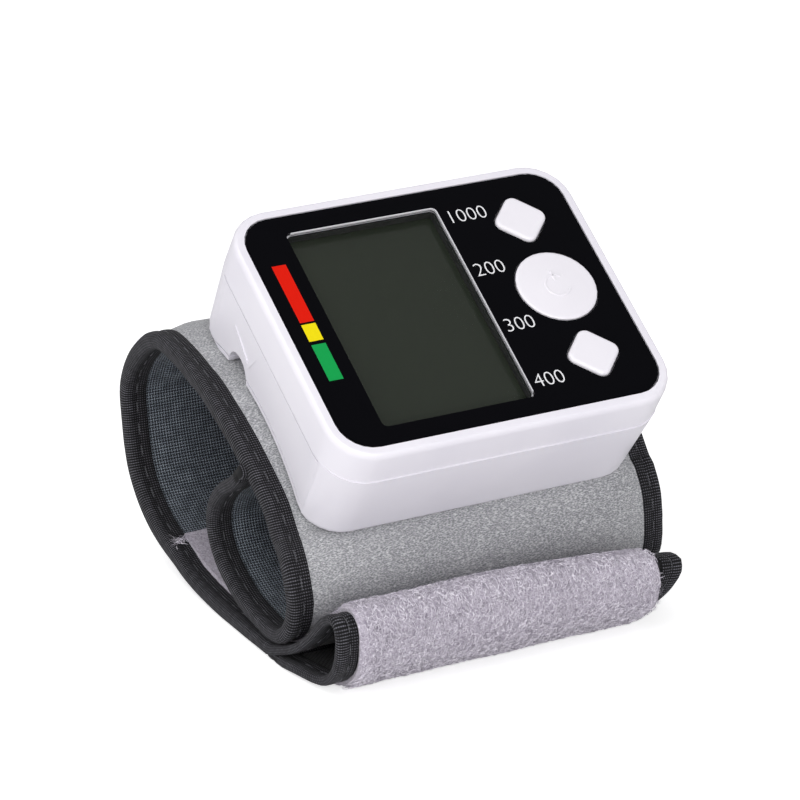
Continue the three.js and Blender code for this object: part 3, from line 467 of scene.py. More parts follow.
@dataclass(frozen=True)
class RibbedTape(Finish):
    """Grosgrain binding: cross ribs crossed by a few long grooves, black, with painted shade in the
    grooves and a painted highlight on the ribs.
    """

    name: str = "polyester_grosgrain_black"
    # The next three colours are painted shade in the grooves, the ribs' own colour, and a painted
    # highlight on them
    groove: str = "#08080A"
    rib: str = "#19181C"
    glint: str = "#78777F"
    rib_mm: float = 0.5
    groove_mm: float = 0.5
    fold_mm: float = 2.5
    wear_mm: float = 1.6
    depth_mm: float = 0.16
    on_cloth = True

    def surface(self, tree: bpy.types.NodeTree, place: bpy.types.NodeSocket) -> dict:
        """Draw plain cross ribs round the fold, and ribs broken into dots on the flats.

        Args:
            tree: Node tree of the material.
            place: The tape's UV map.

        Returns:
            The shader's inputs.
        """
        waves = []
        for pitch, uneven, way in ((self.rib_mm, 0.5, "Y"), (self.groove_mm, 0.4, "X")):
            wave = {
                "Vector": place, "Scale": UV_UNIT / pitch * WAVE, "Distortion": uneven, "Detail": 1.0,
            }
            waves.append(add_node(tree, "TexWave", wave, bands_direction=way))
        ribs, grooves = waves
        across = add_node(tree, "SeparateXYZ", {"Vector": place}, out="X")
        away = add_node(tree, "Math", {0: across}, operation="ABSOLUTE")
        start, end = self.fold_mm / UV_UNIT, self.fold_mm * 1.25 / UV_UNIT
        flat = add_node(
            tree,
            "MapRange",
            {"Value": away, "From Min": start, "From Max": end, "To Min": 0.3, "To Max": 0.6},
        )
        height = add_node(
            tree, "MixRGB", {"Fac": flat, "Color1": ribs, "Color2": grooves}, blend_type="MULTIPLY"
        )
        wear_scale = UV_UNIT / self.wear_mm
        worn = add_node(tree, "TexNoise", {"Vector": place, "Scale": wear_scale, "Detail": 3.0})
        even = add_node(tree, "MapRange", {"Value": worn, "To Min": 0.34, "To Max": 0.66})
        level = add_node(tree, "Math", {0: height, 1: even}, operation="MULTIPLY")
        # Colour follows the ribs' height: painted shade low in the grooves, a painted highlight on the
        # crowns
        tones = ((0.05, self.groove), (0.28, self.rib), (0.6, self.glint))
        bump = {"Height": height, "Distance": self.depth_mm * MM, "Strength": 0.7}
        return {
            "Base Color": add_node(tree, "ValToRGB", {"Fac": level}, tones),
            "Roughness": 0.75,
            "Specular IOR Level": 0.2,
            "Sheen Weight": 0.03,
            "Normal": add_node(tree, "Bump", bump),
        }


@dataclass(frozen=True)
class LoopPile(Finish):
    """Nylon loop pile: a woolly nap of curled threads, pale lavender grey."""

    name: str = "nylon_loop_pile_lavender"
    dark: str = "#857F8C"
    middle: str = "#A9A2AE"
    light: str = "#CAC4CF"
    tuft_mm: float = 0.45
    depth_mm: float = 0.2

    def surface(self, tree: bpy.types.NodeTree, place: bpy.types.NodeSocket) -> dict:
        """Draw a woolly nap whose colour follows its bumps, with painted shade in the hollows between pale
        tufts.

        Args:
            tree: Node tree of the material.
            place: Object coordinates.

        Returns:
            The shader's inputs.
        """
        curls = {"Detail": 5.0, "Roughness": 0.6, "Distortion": 0.8}
        tuft = add_node(tree, "TexNoise", {"Vector": place, "Scale": 1 / (self.tuft_mm * MM), **curls})
        # Colour and bump share one noise: the dark stop is painted shade in the nap's hollows
        tones = ((0.32, self.dark), (0.48, self.middle), (0.66, self.light))
        bump = {"Height": tuft, "Distance": self.depth_mm * MM, "Strength": 0.7}
        return {
            "Base Color": add_node(tree, "ValToRGB", {"Fac": tuft}, tones),
            "Roughness": 0.95,
            "Specular IOR Level": 0.2,
            "Sheen Weight": 0.4,
            "Sheen Roughness": 0.5,
            "Normal": add_node(tree, "Bump", bump),
        }


@dataclass(frozen=True)
class SewingThread(Finish):
    """Polyester sewing thread: two plies twisted, with a slight gleam."""

    name: str = "polyester_thread_grey"
    colour: str = "#4E4E55"
    # Painted shade in the grooves of the twist
    dark: str = "#232327"
    twist_mm: float = 0.4

    def surface(self, tree: bpy.types.NodeTree, place: bpy.types.NodeSocket) -> dict:
        """Draw twisted thread, with painted shade in the grooves of its twist.

        Args:
            tree: Node tree of the material.
            place: Object coordinates.

        Returns:
            The shader's inputs.
        """
        wave = {"Vector": place, "Scale": WAVE / (self.twist_mm * MM)}
        twist = add_node(tree, "TexWave", wave, out="Fac", bands_direction="DIAGONAL")
        return {
            "Base Color": add_node(
                tree, "ValToRGB", {"Fac": twist}, ((0.2, self.dark), (0.7, self.colour))
            ),
            "Roughness": 0.6,
            "Sheen Weight": 0.2,
        }


@dataclass(frozen=True)
class PlatedSteel(Finish):
    """Nickel-plated spring steel: bright, with fine drawing lines."""

    name: str = "steel_nickel_plated"
    colour: str = "#B9BCC0"

    def surface(self, tree: bpy.types.NodeTree, place: bpy.types.NodeSocket) -> dict:
        """Draw bright metal whose roughness follows fine lines.

        Args:
            tree: Node tree of the material.
            place: Object coordinates.

        Returns:
            The shader's inputs.
        """
        lines = add_node(tree, "TexNoise", {"Vector": place, "Scale": 1 / (0.3 * MM), "Detail": 2.0})
        return {
            "Base Color": linear(self.colour),
            "Metallic": 1.0,
            "Roughness": add_node(tree, "MapRange", {"Value": lines, "To Min": 0.2, "To Max": 0.38}),
        }


# Mesh helpers


def deselect_all() -> None:
    """Leave no object selected or active."""
    for item in list(bpy.context.selected_objects):
        item.select_set(False)
    bpy.context.view_layer.objects.active = None


def pick(item: Piece) -> None:
    """Select one object alone and make it active.

    Args:
        item: The object.
    """
    deselect_all()
    item.select_set(True)
    bpy.context.view_layer.objects.active = item


def apply_place() -> None:
    """Put the selected object's place, turn and scale in its mesh."""
    bpy.ops.object.transform_apply(location=True, rotation=True, scale=True)


@contextmanager
def editing() -> Iterator[None]:
    """Edit the active object's mesh, with all of it selected at first.

    Yields:
        Nothing; edit mode ends with the block.
    """
    bpy.ops.object.mode_set(mode="EDIT")
    bpy.ops.mesh.select_all(action="SELECT")
    yield
    bpy.ops.object.mode_set(mode="OBJECT")


def apply_modifiers(item: Piece) -> None:
    """Apply every modifier of an object in order.

    Args:
        item: The object.
    """
    pick(item)
    for modifier in list(item.modifiers):
        bpy.ops.object.modifier_apply(modifier=modifier.name)


def smooth(item: Piece, degrees: float) -> None:
    """Shade an object smooth, with an edge wherever its faces turn by more than the angle."""
    pick(item)
    bpy.ops.object.shade_smooth_by_angle(angle=math.radians(degrees))


def settle(item: Piece, matrix: Matrix) -> None:
    """Move an object by a matrix and put its place in its mesh.

    Args:
        item: The object.
        matrix: How it moves.
    """
    item.matrix_world = matrix @ item.matrix_world
    pick(item)
    apply_place()


def add_primitive(
    add: Callable, name: str, size: Triple, centre: Triple, turn: Triple = (0, 0, 0)
) -> Piece:
    """Add a primitive of one unit, sized and placed, with its place in its mesh.

    Args:
        add: Operator that adds it.
        name: Name of the object.
        size: Its sides, in millimetres.
        centre: Its middle, in millimetres.
        turn: Its turn about X, Y and Z.

    Returns:
        The new object.
    """
    deselect_all()
    add(size=1, rotation=turn)
    item = bpy.context.object
    item.name = item.data.name = name
    item.scale = [side * MM for side in size]
    item.location = [value * MM for value in centre]
    apply_place()
    return item


def dress(item: Piece, material: bpy.types.Material, slot: str = "", node: str = "") -> Piece:
    """Give a piece its one material and, where one is named, hide the CAD node that it stands for.

    Args:
        item: The piece.
        material: What it is made of.
        slot: Material slot of the record; not used.
        node: CAD node that it stands for.

    Returns:
        The piece.
    """
    item.data.materials.clear()
    item.data.materials.append(material)
    if node:
        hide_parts(node)
    return item


def adopt(node: Piece, body: str, shape: Callable[[Vector], Vector] | None = None) -> Piece:
    """Copy a CAD node as one welded piece with smooth rounds.

    Args:
        node: CAD node.
        body: Body that it rides on.
        shape: Where each point of it moves to, if it is fitted closer.

    Returns:
        The new piece.
    """
    deselect_all()
    place = node.matrix_world.copy()
    item = node.copy()
    item.data = node.data.copy()
    item.name = item.data.name = f"{node.name}_skin"
    item.parent = None
    bpy.context.scene.collection.objects.link(item)
    item.matrix_world = place
    pick(item)
    apply_place()
    with editing():
        bpy.ops.mesh.remove_doubles(threshold=0.002 * MM)
        bpy.ops.mesh.normals_make_consistent(inside=False)
        bpy.ops.mesh.dissolve_limited(angle_limit=math.radians(0.5))
    if shape is not None:
        for vertex in item.data.vertices:
            vertex.co = shape(vertex.co)
    smooth(item, SHARP_DEGREES)
    item.modifiers.new("even_normals", "WEIGHTED_NORMAL").keep_sharp = True
    apply_modifiers(item)
    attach(item, body)
    return item


def new_piece(name: str, verts: list, faces: list[tuple[int, ...]]) -> Piece:
    """Make an object from points and faces.

    Args:
        name: Name of the object.
        verts: Its points, in metres.
        faces: Its faces, as numbers of points.

    Returns:
        The new object.
    """
    mesh = bpy.data.meshes.new(name)
    mesh.from_pydata([tuple(vert) for vert in verts], [], faces)
    item = bpy.data.objects.new(name, mesh)
    bpy.context.scene.collection.objects.link(item)
    return item


def tube_faces(first: int, count: int, rows: int, closed: bool) -> list[tuple[int, ...]]:
    """Number the faces of a surface through rows of points.

    Args:
        first: Number of its first point.
        count: Points in a row.
        rows: Number of rows.
        closed: Whether each row closes on itself and the two ends are capped.

    Returns:
        The faces, as numbers of points.
    """
    faces: list[tuple[int, ...]] = []
    for row in range(rows - 1):
        low, high = first + row * count, first + (row + 1) * count
        for column in range(count if closed else count - 1):
            after = (column + 1) % count
            faces.append((low + column, low + after, high + after, high + column))
    if closed:
        last = first + (rows - 1) * count
        faces.append(tuple(range(first + count - 1, first - 1, -1)))
        faces.append(tuple(range(last, last + count)))
    return faces


def loft(
    name: str, rings: list[list[Vector]], marks: list[list[Place]], closed: bool = False
) -> Piece:
    """Make a surface through rings of equal count, with a UV map in cloth measure.

    Args:
        name: Name of the object.
        rings: Points of each ring, in metres.
        marks: Place of each point on the flat cloth, in millimetres.
        closed: Whether each ring closes on itself and the two ends are capped.

    Returns:
        The new object.
    """
    faces = tube_faces(0, len(rings[0]), len(rings), closed)
    item = new_piece(name, [point for ring in rings for point in ring], faces)
    flat = [mark for row in marks for mark in row]
    layer = item.data.uv_layers.new(name="cloth")
    for loop in item.data.loops:
        u, v = flat[loop.vertex_index]
        layer.data[loop.index].uv = (u / UV_UNIT, v / UV_UNIT)
    return item


def face_outwards(item: Piece) -> None:
    """Recalculate a closed mesh's normals so that they point out of it.

    Args:
        item: The closed mesh.
    """
    pick(item)
    with editing():
        bpy.ops.mesh.normals_make_consistent(inside=False)


def thicken(item: Piece, thickness_mm: float, offset: float) -> None:
    """Give an open sheet its thickness.

    Args:
        item: Sheet.
        thickness_mm: Thickness in millimetres.
        offset: -1 grows it against the normals, 1 along them, 0 both ways.
    """
    modifier = item.modifiers.new("cloth_thickness", "SOLIDIFY")
    modifier.thickness = thickness_mm * MM
    modifier.offset = offset
    modifier.use_even_offset = False
    apply_modifiers(item)
    smooth(item, CLOTH_DEGREES)


def smoothstep(value: float, low: float, high: float) -> float:
    """Return how far a value is from low to high, with soft ends."""
    share = min(max((value - low) / (high - low), 0.0), 1.0)
    return share * share * (3 - 2 * share)


def ripple(x: float, s: float, width: float, length: float, seed: float) -> float:
    """Return an even, repeatable unevenness between -1 and 1 at a place on a cloth."""
    return noise.noise(Vector((x / width, s / length, seed)))


def level_at(marks: list[tuple[float, ...]], s: float, column: int = 1) -> float:
    """Read a value between marks that stand along a line.

    Args:
        marks: Length along the line, then the values there; in order.
        s: Length to read at.
        column: Which value to read.

    Returns:
        The value, even between two marks and steady beyond the ends.
    """
    if s <= marks[0][0]:
        return marks[0][column]
    for low, high in zip(marks, marks[1:]):
        if s <= high[0]:
            share = (s - low[0]) / (high[0] - low[0])
            return low[column] + (high[column] - low[column]) * share
    return marks[-1][column]


def steps_between(start: float, end: float, step: float) -> list[float]:
    """Return even values from start to end, about a step apart."""
    count = max(2, round(abs(end - start) / step))
    return [start + (end - start) * i / count for i in range(count + 1)]


def girths(outline: list[Place]) -> list[float]:
    """Measure how far along an outline each of its points lies, from the outline's middle.

    Args:
        outline: Its points.

    Returns:
        A length for each point.
    """
    lengths = [0.0]
    for last, point in zip(outline, outline[1:]):
        lengths.append(lengths[-1] + math.hypot(point[0] - last[0], point[1] - last[1]))
    return [length - lengths[-1] / 2 for length in lengths]


# Band


class BandPath:
    """A smooth line through places in the resting plane, measured along its length in millimetres."""

    def __init__(self, places: list[Place], per_point: int = 24) -> None:
        """Lay a centripetal curve through the places.

        Args:
            places: Points as (y, z) in millimetres.
            per_point: Steps between two points.
        """
        self.per_point = per_point
        knots = [Vector(place) for place in places]
        knots = [2 * knots[0] - knots[1], *knots, 2 * knots[-1] - knots[-2]]
        self.points: list[Vector] = []
        for i in range(1, len(knots) - 2):
            spans = [max((knots[i + k] - knots[i + k - 1]).length ** 0.5, 1e-4) for k in (0, 1, 2)]
            for step in range(per_point):
                self.points.append(self._blend(knots[i - 1 : i + 3], spans, step / per_point))
        self.points.append(knots[-2].copy())
        self.lengths = [0.0]
        for a, b in zip(self.points, self.points[1:]):
            self.lengths.append(self.lengths[-1] + (b - a).length)
        self.total = self.lengths[-1]

    @staticmethod
    def _blend(four: list[Vector], spans: list[float], t: float) -> Vector:
        """Find a point of the piece between the middle two of four knots.

        Args:
            four: The knots.
            spans: Weights of the three pieces between them.
            t: How far along the middle piece it is, from 0 to 1.

        Returns:
            The point.
        """
        p0, p1, p2, p3 = four
        d0, d1, d2 = spans
        t1 = ((p1 - p0) / d0 - (p2 - p0) / (d0 + d1) + (p2 - p1) / d1) * d1
        t2 = ((p2 - p1) / d1 - (p3 - p1) / (d1 + d2) + (p3 - p2) / d2) * d1
        c2 = -3 * p1 + 3 * p2 - 2 * t1 - t2
        c3 = 2 * p1 - 2 * p2 + t1 + t2
        return p1 + t1 * t + c2 * t * t + c3 * t**3

    def length_at(self, index: int) -> float:
        """Return the length from the start to one of the places."""
        return self.lengths[index * self.per_point]

    def at(self, s: float) -> tuple[Vector, Vector]:
        """Find a point of the line, which runs on straight beyond its ends, and its normal.

        Args:
            s: Length from the start, in millimetres.

        Returns:
            The point and the unit normal, both as (y, z).
        """
        beyond = s - min(max(s, 0.0), self.total)
        s -= beyond
        low, high = 0, len(self.lengths) - 1
        while high - low > 1:
            middle = (low + high) // 2
            if self.lengths[middle] <= s:
                low = middle
            else:
                high = middle
        share = (s - self.lengths[low]) / max(self.lengths[high] - self.lengths[low], 1e-9)
        point = self.points[low].lerp(self.points[high], share)
        before, after = self.points[max(low - 1, 0)], self.points[min(high + 1, len(self.points) - 1)]
        along = (after - before).normalized()
        return point + along * beyond, Vector((-along.y, along.x))


@dataclass
class Tape:
    """Folded binding tape with its running stitch.

    The dents are how deep the seam pulls the tape in between two stitches, and how much deeper at a
    stitch. A stitch rises in an arch out of the tape, and a share of its radius is left at its ends.
    """

    width: float = 4.8
    thickness: float = 0.42
    corner: float = 1.3
    squareness: float = 0.75
    drift: float = 0.12
    dents: Place = (0.04, 0.1)
    stitch_share: float = 0.55
    stitch_pitch: float = 4.4
    stitch_length: float = 2.4
    stitch_radius: float = 0.1
    stitch_taper: float = 0.45
    stitch_arch: float = 0.14
    stitch_sink: float = 0.26
    step: float = 1.1

    def fold(self, edge: float, side: Side, lie: Place, dent: float) -> list[Place]:
        """Draw the tape's outer line from the lip on one face round the edge to the other lip.

        Args:
            edge: Place of the band's edge, across it.
            side: Which edge it is.
            lie: Offsets of the tape's inner and outer face from the band's line.
            dent: Depth that the stitch pulls the tape in by, at this place.

        Returns:
            Points as (across, offset).
        """
        sign = side.value
        centre, half = (lie[0] + lie[1]) / 2, (lie[1] - lie[0]) / 2
        corner = min(half, self.corner)
        stations = [
            (self.width, 0.3), (self.width * 0.92, 0.1), (self.width * 0.76, 0.04),
            (self.width * 0.62, 0.12 + dent), (self.width * self.stitch_share, 0.2 + dent),
            (self.width * 0.48, 0.1 + dent / 2), (self.width * 0.38, 0.0), (corner, 0.0),
        ]
        face = [(edge - sign * inward, half - low) for inward, low in stations]
        turn = []
        for i in range(1, 10):
            angle = math.pi / 2 - math.pi * i / 10
            cos, sin = [abs(part) ** self.squareness for part in (math.cos(angle), math.sin(angle))]
            turn.append((edge - sign * corner * (1 - cos), half * math.copysign(sin, angle)))
        back = [(x, -offset) for x, offset in reversed(face)]
        return [(x, centre + offset) for x, offset in face + turn + back]

    def stitch_place(self, edge: float, side: Side) -> float:
        """Return where the stitches run, across the band."""
        return edge - side.value * self.width * self.stitch_share


@dataclass(frozen=True)
class Threads:
    """Raised threads: their count, shortest and longest, lowest and highest arch, and half width."""

    count: int
    reach: Place
    lift: Place
    half_width: float
    narrowing: float = 0.6
    curl: float = 1.6
    joints: int = 3
    root: float = 0.1


@dataclass
class Band:
    """What the cuff and its strap share: taped cloth swept along a line.

    At a length along the line, edges gives the left and right edge and lie the offsets of the side
    tapes' inner and outer face. bend gives a point's true (y, z) from its place across, its length, and
    its even place and normal. turn, what the tape needs to go round the edge, is not used.
    """

    name: str
    origin: Vector
    path: BandPath
    tape: Tape
    width: float
    edges: Callable[[float], Place]
    lie: Callable[[float], Place]
    bend: Bend
    rests_on: str
    turn: float

    def put(self, s: float, x: float, offset: float) -> Vector:
        """Place a point of the band.

        Args:
            s: Length along the line, in millimetres.
            x: Place across the band.
            offset: Distance from the line along its normal.

        Returns:
            The point in metres, in the row frame.
        """
        point, normal = self.path.at(s)
        place = self.bend(x, s, point + normal * offset, normal)
        return self.origin + Vector((x, place.x, place.y)) * MM

    def sweep(self, name: str, stops: list[float], section: Section, closed: bool = False) -> Piece:
        """Sweep a section along the line.

        Args:
            name: Name of the piece.
            stops: Lengths along the line.
            section: Points as (across, offset) at each length.
            closed: Whether the section closes on itself.

        Returns:
            The swept surface.
        """
        rings, marks = [], []
        for s in stops:
            outline = section(s)
            rings.append([self.put(s, x, offset) for x, offset in outline])
            marks.append([(u, s) for u in girths(outline)])
        return loft(name, rings, marks, closed)

    def cloth(
        self,
        name: str,
        stops: list[float],
        edges: Callable[[float], Place],
        offset: Callable[[float, float], float],
        step: float,
        thickness: float,
    ) -> Piece:
        """Sweep a layer of cloth and give it its thickness under its upper face.

        Args:
            name: Name of the piece.
            stops: Lengths along the line.
            edges: Left and right edge at each length.
            offset: Offset of the cloth's upper face at (across, length).
            step: Distance between two points across it.
            thickness: Thickness; below zero it grows the other way.

        Returns:
            The finished layer.
        """
        left, right = edges(stops[0])
        count = max(4, round((right - left) / step))

        def section(s: float) -> list[Place]:
            """Lay the layer's points across the band.

            Args:
                s: Length along the line.

            Returns:
                Points as (across, offset).
            """
            low, high = edges(s)
            across = [low + (high - low) * i / count for i in range(count + 1)]
            return [(x, offset(x, s)) for x in across]

        item = self.sweep(name, stops, section)
        thicken(item, abs(thickness), -1.0 if thickness > 0 else 1.0)
        return item

    def side_tape(
        self, name: str, stops: list[float], edge: Callable[[float], float], side: Side
    ) -> Piece:
        """Fold a tape over one edge of the band.

        Args:
            name: Name of the piece.
            stops: Lengths along the line.
            edge: Place of the edge at each length.
            side: Which edge it is.

        Returns:
            The tape.
        """

        def section(s: float) -> list[Place]:
            """Draw the tape's fold, pulled in at each stitch.

            Args:
                s: Length along the line.

            Returns:
                Points as (across, offset).
            """
            pull = 0.5 + 0.5 * math.cos(math.tau * s / self.tape.stitch_pitch)
            drift = self.tape.drift * ripple(side.value * 9, s, 10, 9, 3.1)
            dent = self.tape.dents[0] + self.tape.dents[1] * pull
            line = self.tape.fold(edge(s) + drift, side, self.lie(s), dent)
            return line if side is Side.RIGHT else line[::-1]

        item = self.sweep(name, stops, section)
        thicken(item, self.tape.thickness, -1.0)
        return item

    def stitches(self, name: str, seam: Place, edge: Callable[[float], float], side: Side) -> Piece:
        """Lay the running stitch on both faces of a tape.

        Args:
            name: Name of the piece.
            seam: Lengths where the seam starts and ends.
            edge: Place of the band's edge at each length.
            side: Which edge it is.

        Returns:
            All stitches of the seam, as one mesh.
        """
        tape = self.tape
        verts: list[Vector] = []
        faces: list[tuple[int, ...]] = []
        sides, spans = 5, 4
        start, end = seam
        for face in (1, -1):
            for i in range(int((end - start) / tape.stitch_pitch)):
                middle = start + (i + 0.5) * tape.stitch_pitch
                faces += tube_faces(len(verts), sides, spans + 1, closed=True)
                for j in range(spans + 1):
                    t = j / spans - 0.5
                    s = middle + t * tape.stitch_length
                    rise = tape.stitch_arch * (1 - (2 * t) ** 2) - tape.stitch_sink
                    thin = tape.stitch_radius * (tape.stitch_taper if j in (0, spans) else 1.0)
                    x = tape.stitch_place(edge(s), side)
                    offset = self.lie(s)[(face + 1) // 2] + face * rise
                    for k in range(sides):
                        angle = math.tau * k / sides
                        dx, dn = thin * math.cos(angle), thin * math.sin(angle)
                        verts.append(self.put(s, x + dx, offset + dn))
        item = new_piece(name, verts, faces)
        face_outwards(item)
        smooth(item, 70)
        return item

    def raise_threads(
        self, name: str, roots: list[Triple], rng: random.Random, threads: Threads
    ) -> Piece:
        """Raise curled threads on the band's inner side.

        Args:
            name: Name of the piece.
            roots: Length along the line, place across and offset of each thread's foot.
            rng: Seeded source of chance.
            threads: Their sizes.

        Returns:
            All threads, as one mesh of narrow bent ribbons.
        """
        verts: list[Vector] = []
        faces: list[tuple[int, ...]] = []
        joints = threads.joints
        for s, x, base in roots:
            turn, curl = rng.uniform(0, math.tau), rng.uniform(-threads.curl, threads.curl)
            length, rise = rng.uniform(*threads.reach), rng.uniform(*threads.lift)
            first = len(verts)
            for j in range(joints + 1):
                t = j / joints
                angle = turn + curl * t
                px, ps = x + length * t * math.cos(angle), s + length * t * math.sin(angle)
                high = base - rise * math.sin(math.pi * min(t * 0.75 + 0.05, 1))
                wide = threads.half_width * (1 - threads.narrowing * t)
                dx, ds = -wide * math.sin(angle), wide * math.cos(angle)
                for way in (1, -1):
                    verts.append(self.put(ps + way * ds, px + way * dx, high + 0.05 * way))
            for j in range(joints):
                a = first + 2 * j
                faces.append((a, a + 1, a + 3, a + 2))
        item = new_piece(name, verts, faces)
        smooth(item, 80)
        return item

    def end_tape(self, name: str, end: float, direction: int, lie: Place) -> Piece:
        """Fold a tape over an end of the band, across its width.

        Args:
            name: Name of the piece.
            end: Length of the end.
            direction: 1 where the line ends there, -1 where it starts.
            lie: Offsets of the tape's inner and outer face.

        Returns:
            The tape.
        """
        left, right = self.edges(end)
        outline = self.tape.fold(0.0, Side.RIGHT, lie, 0.1)
        centre = (lie[0] + lie[1]) / 2
        across = [(x, 1.0) for x in steps_between(left + 0.5, right - 0.5, 1.6)]
        across = [(left, 0.02), (left + 0.1, 0.7), *across, (right - 0.1, 0.7), (right, 0.02)]
        rings, marks = [], []
        for x, open_share in across:
            heights = [centre + (offset - centre) * open_share for _, offset in outline]
            ring = [
                self.put(end + direction * inward, x, height)
                for (inward, _), height in zip(outline, heights)
            ]
            row = [(u, x) for u in girths(outline)]
            rings.append(ring[::-1] if direction > 0 else ring)
            marks.append(row[::-1] if direction > 0 else row)
        item = loft(name, rings, marks)
        thicken(item, self.tape.thickness, -1.0)
        return item

    def bind(
        self, stops: list[float], seam: Place, ending: tuple[str, float, int, Place], looks: Looks
    ) -> list[Piece]:
        """Fold tapes over both edges and one end, and stitch the edges.

        Args:
            stops: Lengths along the line for the side tapes.
            seam: Lengths where the stitches start and end.
            ending: Name, length, direction and lie of the end's tape.
            looks: Finishes by name.

        Returns:
            The tapes and the seams.
        """
        made = []
        for i, side in enumerate(Side):
            label = side.name.lower()

            def edge(s: float, i: int = i) -> float:
                """Return this edge's place at a length."""
                return self.edges(s)[i]

            tape = self.side_tape(f"{self.name}_binding_{label}", stops, edge, side)
            threads = self.stitches(f"{self.name}_seam_{label}", seam, edge, side)
            self.finish_tape(tape, label, self.path.total, looks)
            made += [tape, dress(threads, looks["thread"], "tape")]
        end = self.end_tape(*ending)
        self.finish_tape(end, "end", self.width, looks)
        return [*made, end]

    def finish_tape(self, item: Piece, label: str, length: float, looks: Looks) -> None:
        """Dress a tape and hide the CAD node that it stands for.

        Args:
            item: The tape.
            label: Which tape it is, as its CAD node's name ends.
            length: Its length in millimetres; not used.
            looks: Finishes by name.
        """
        dress(item, looks["tape"], "tape", f"{self.name}_tape_{label}")


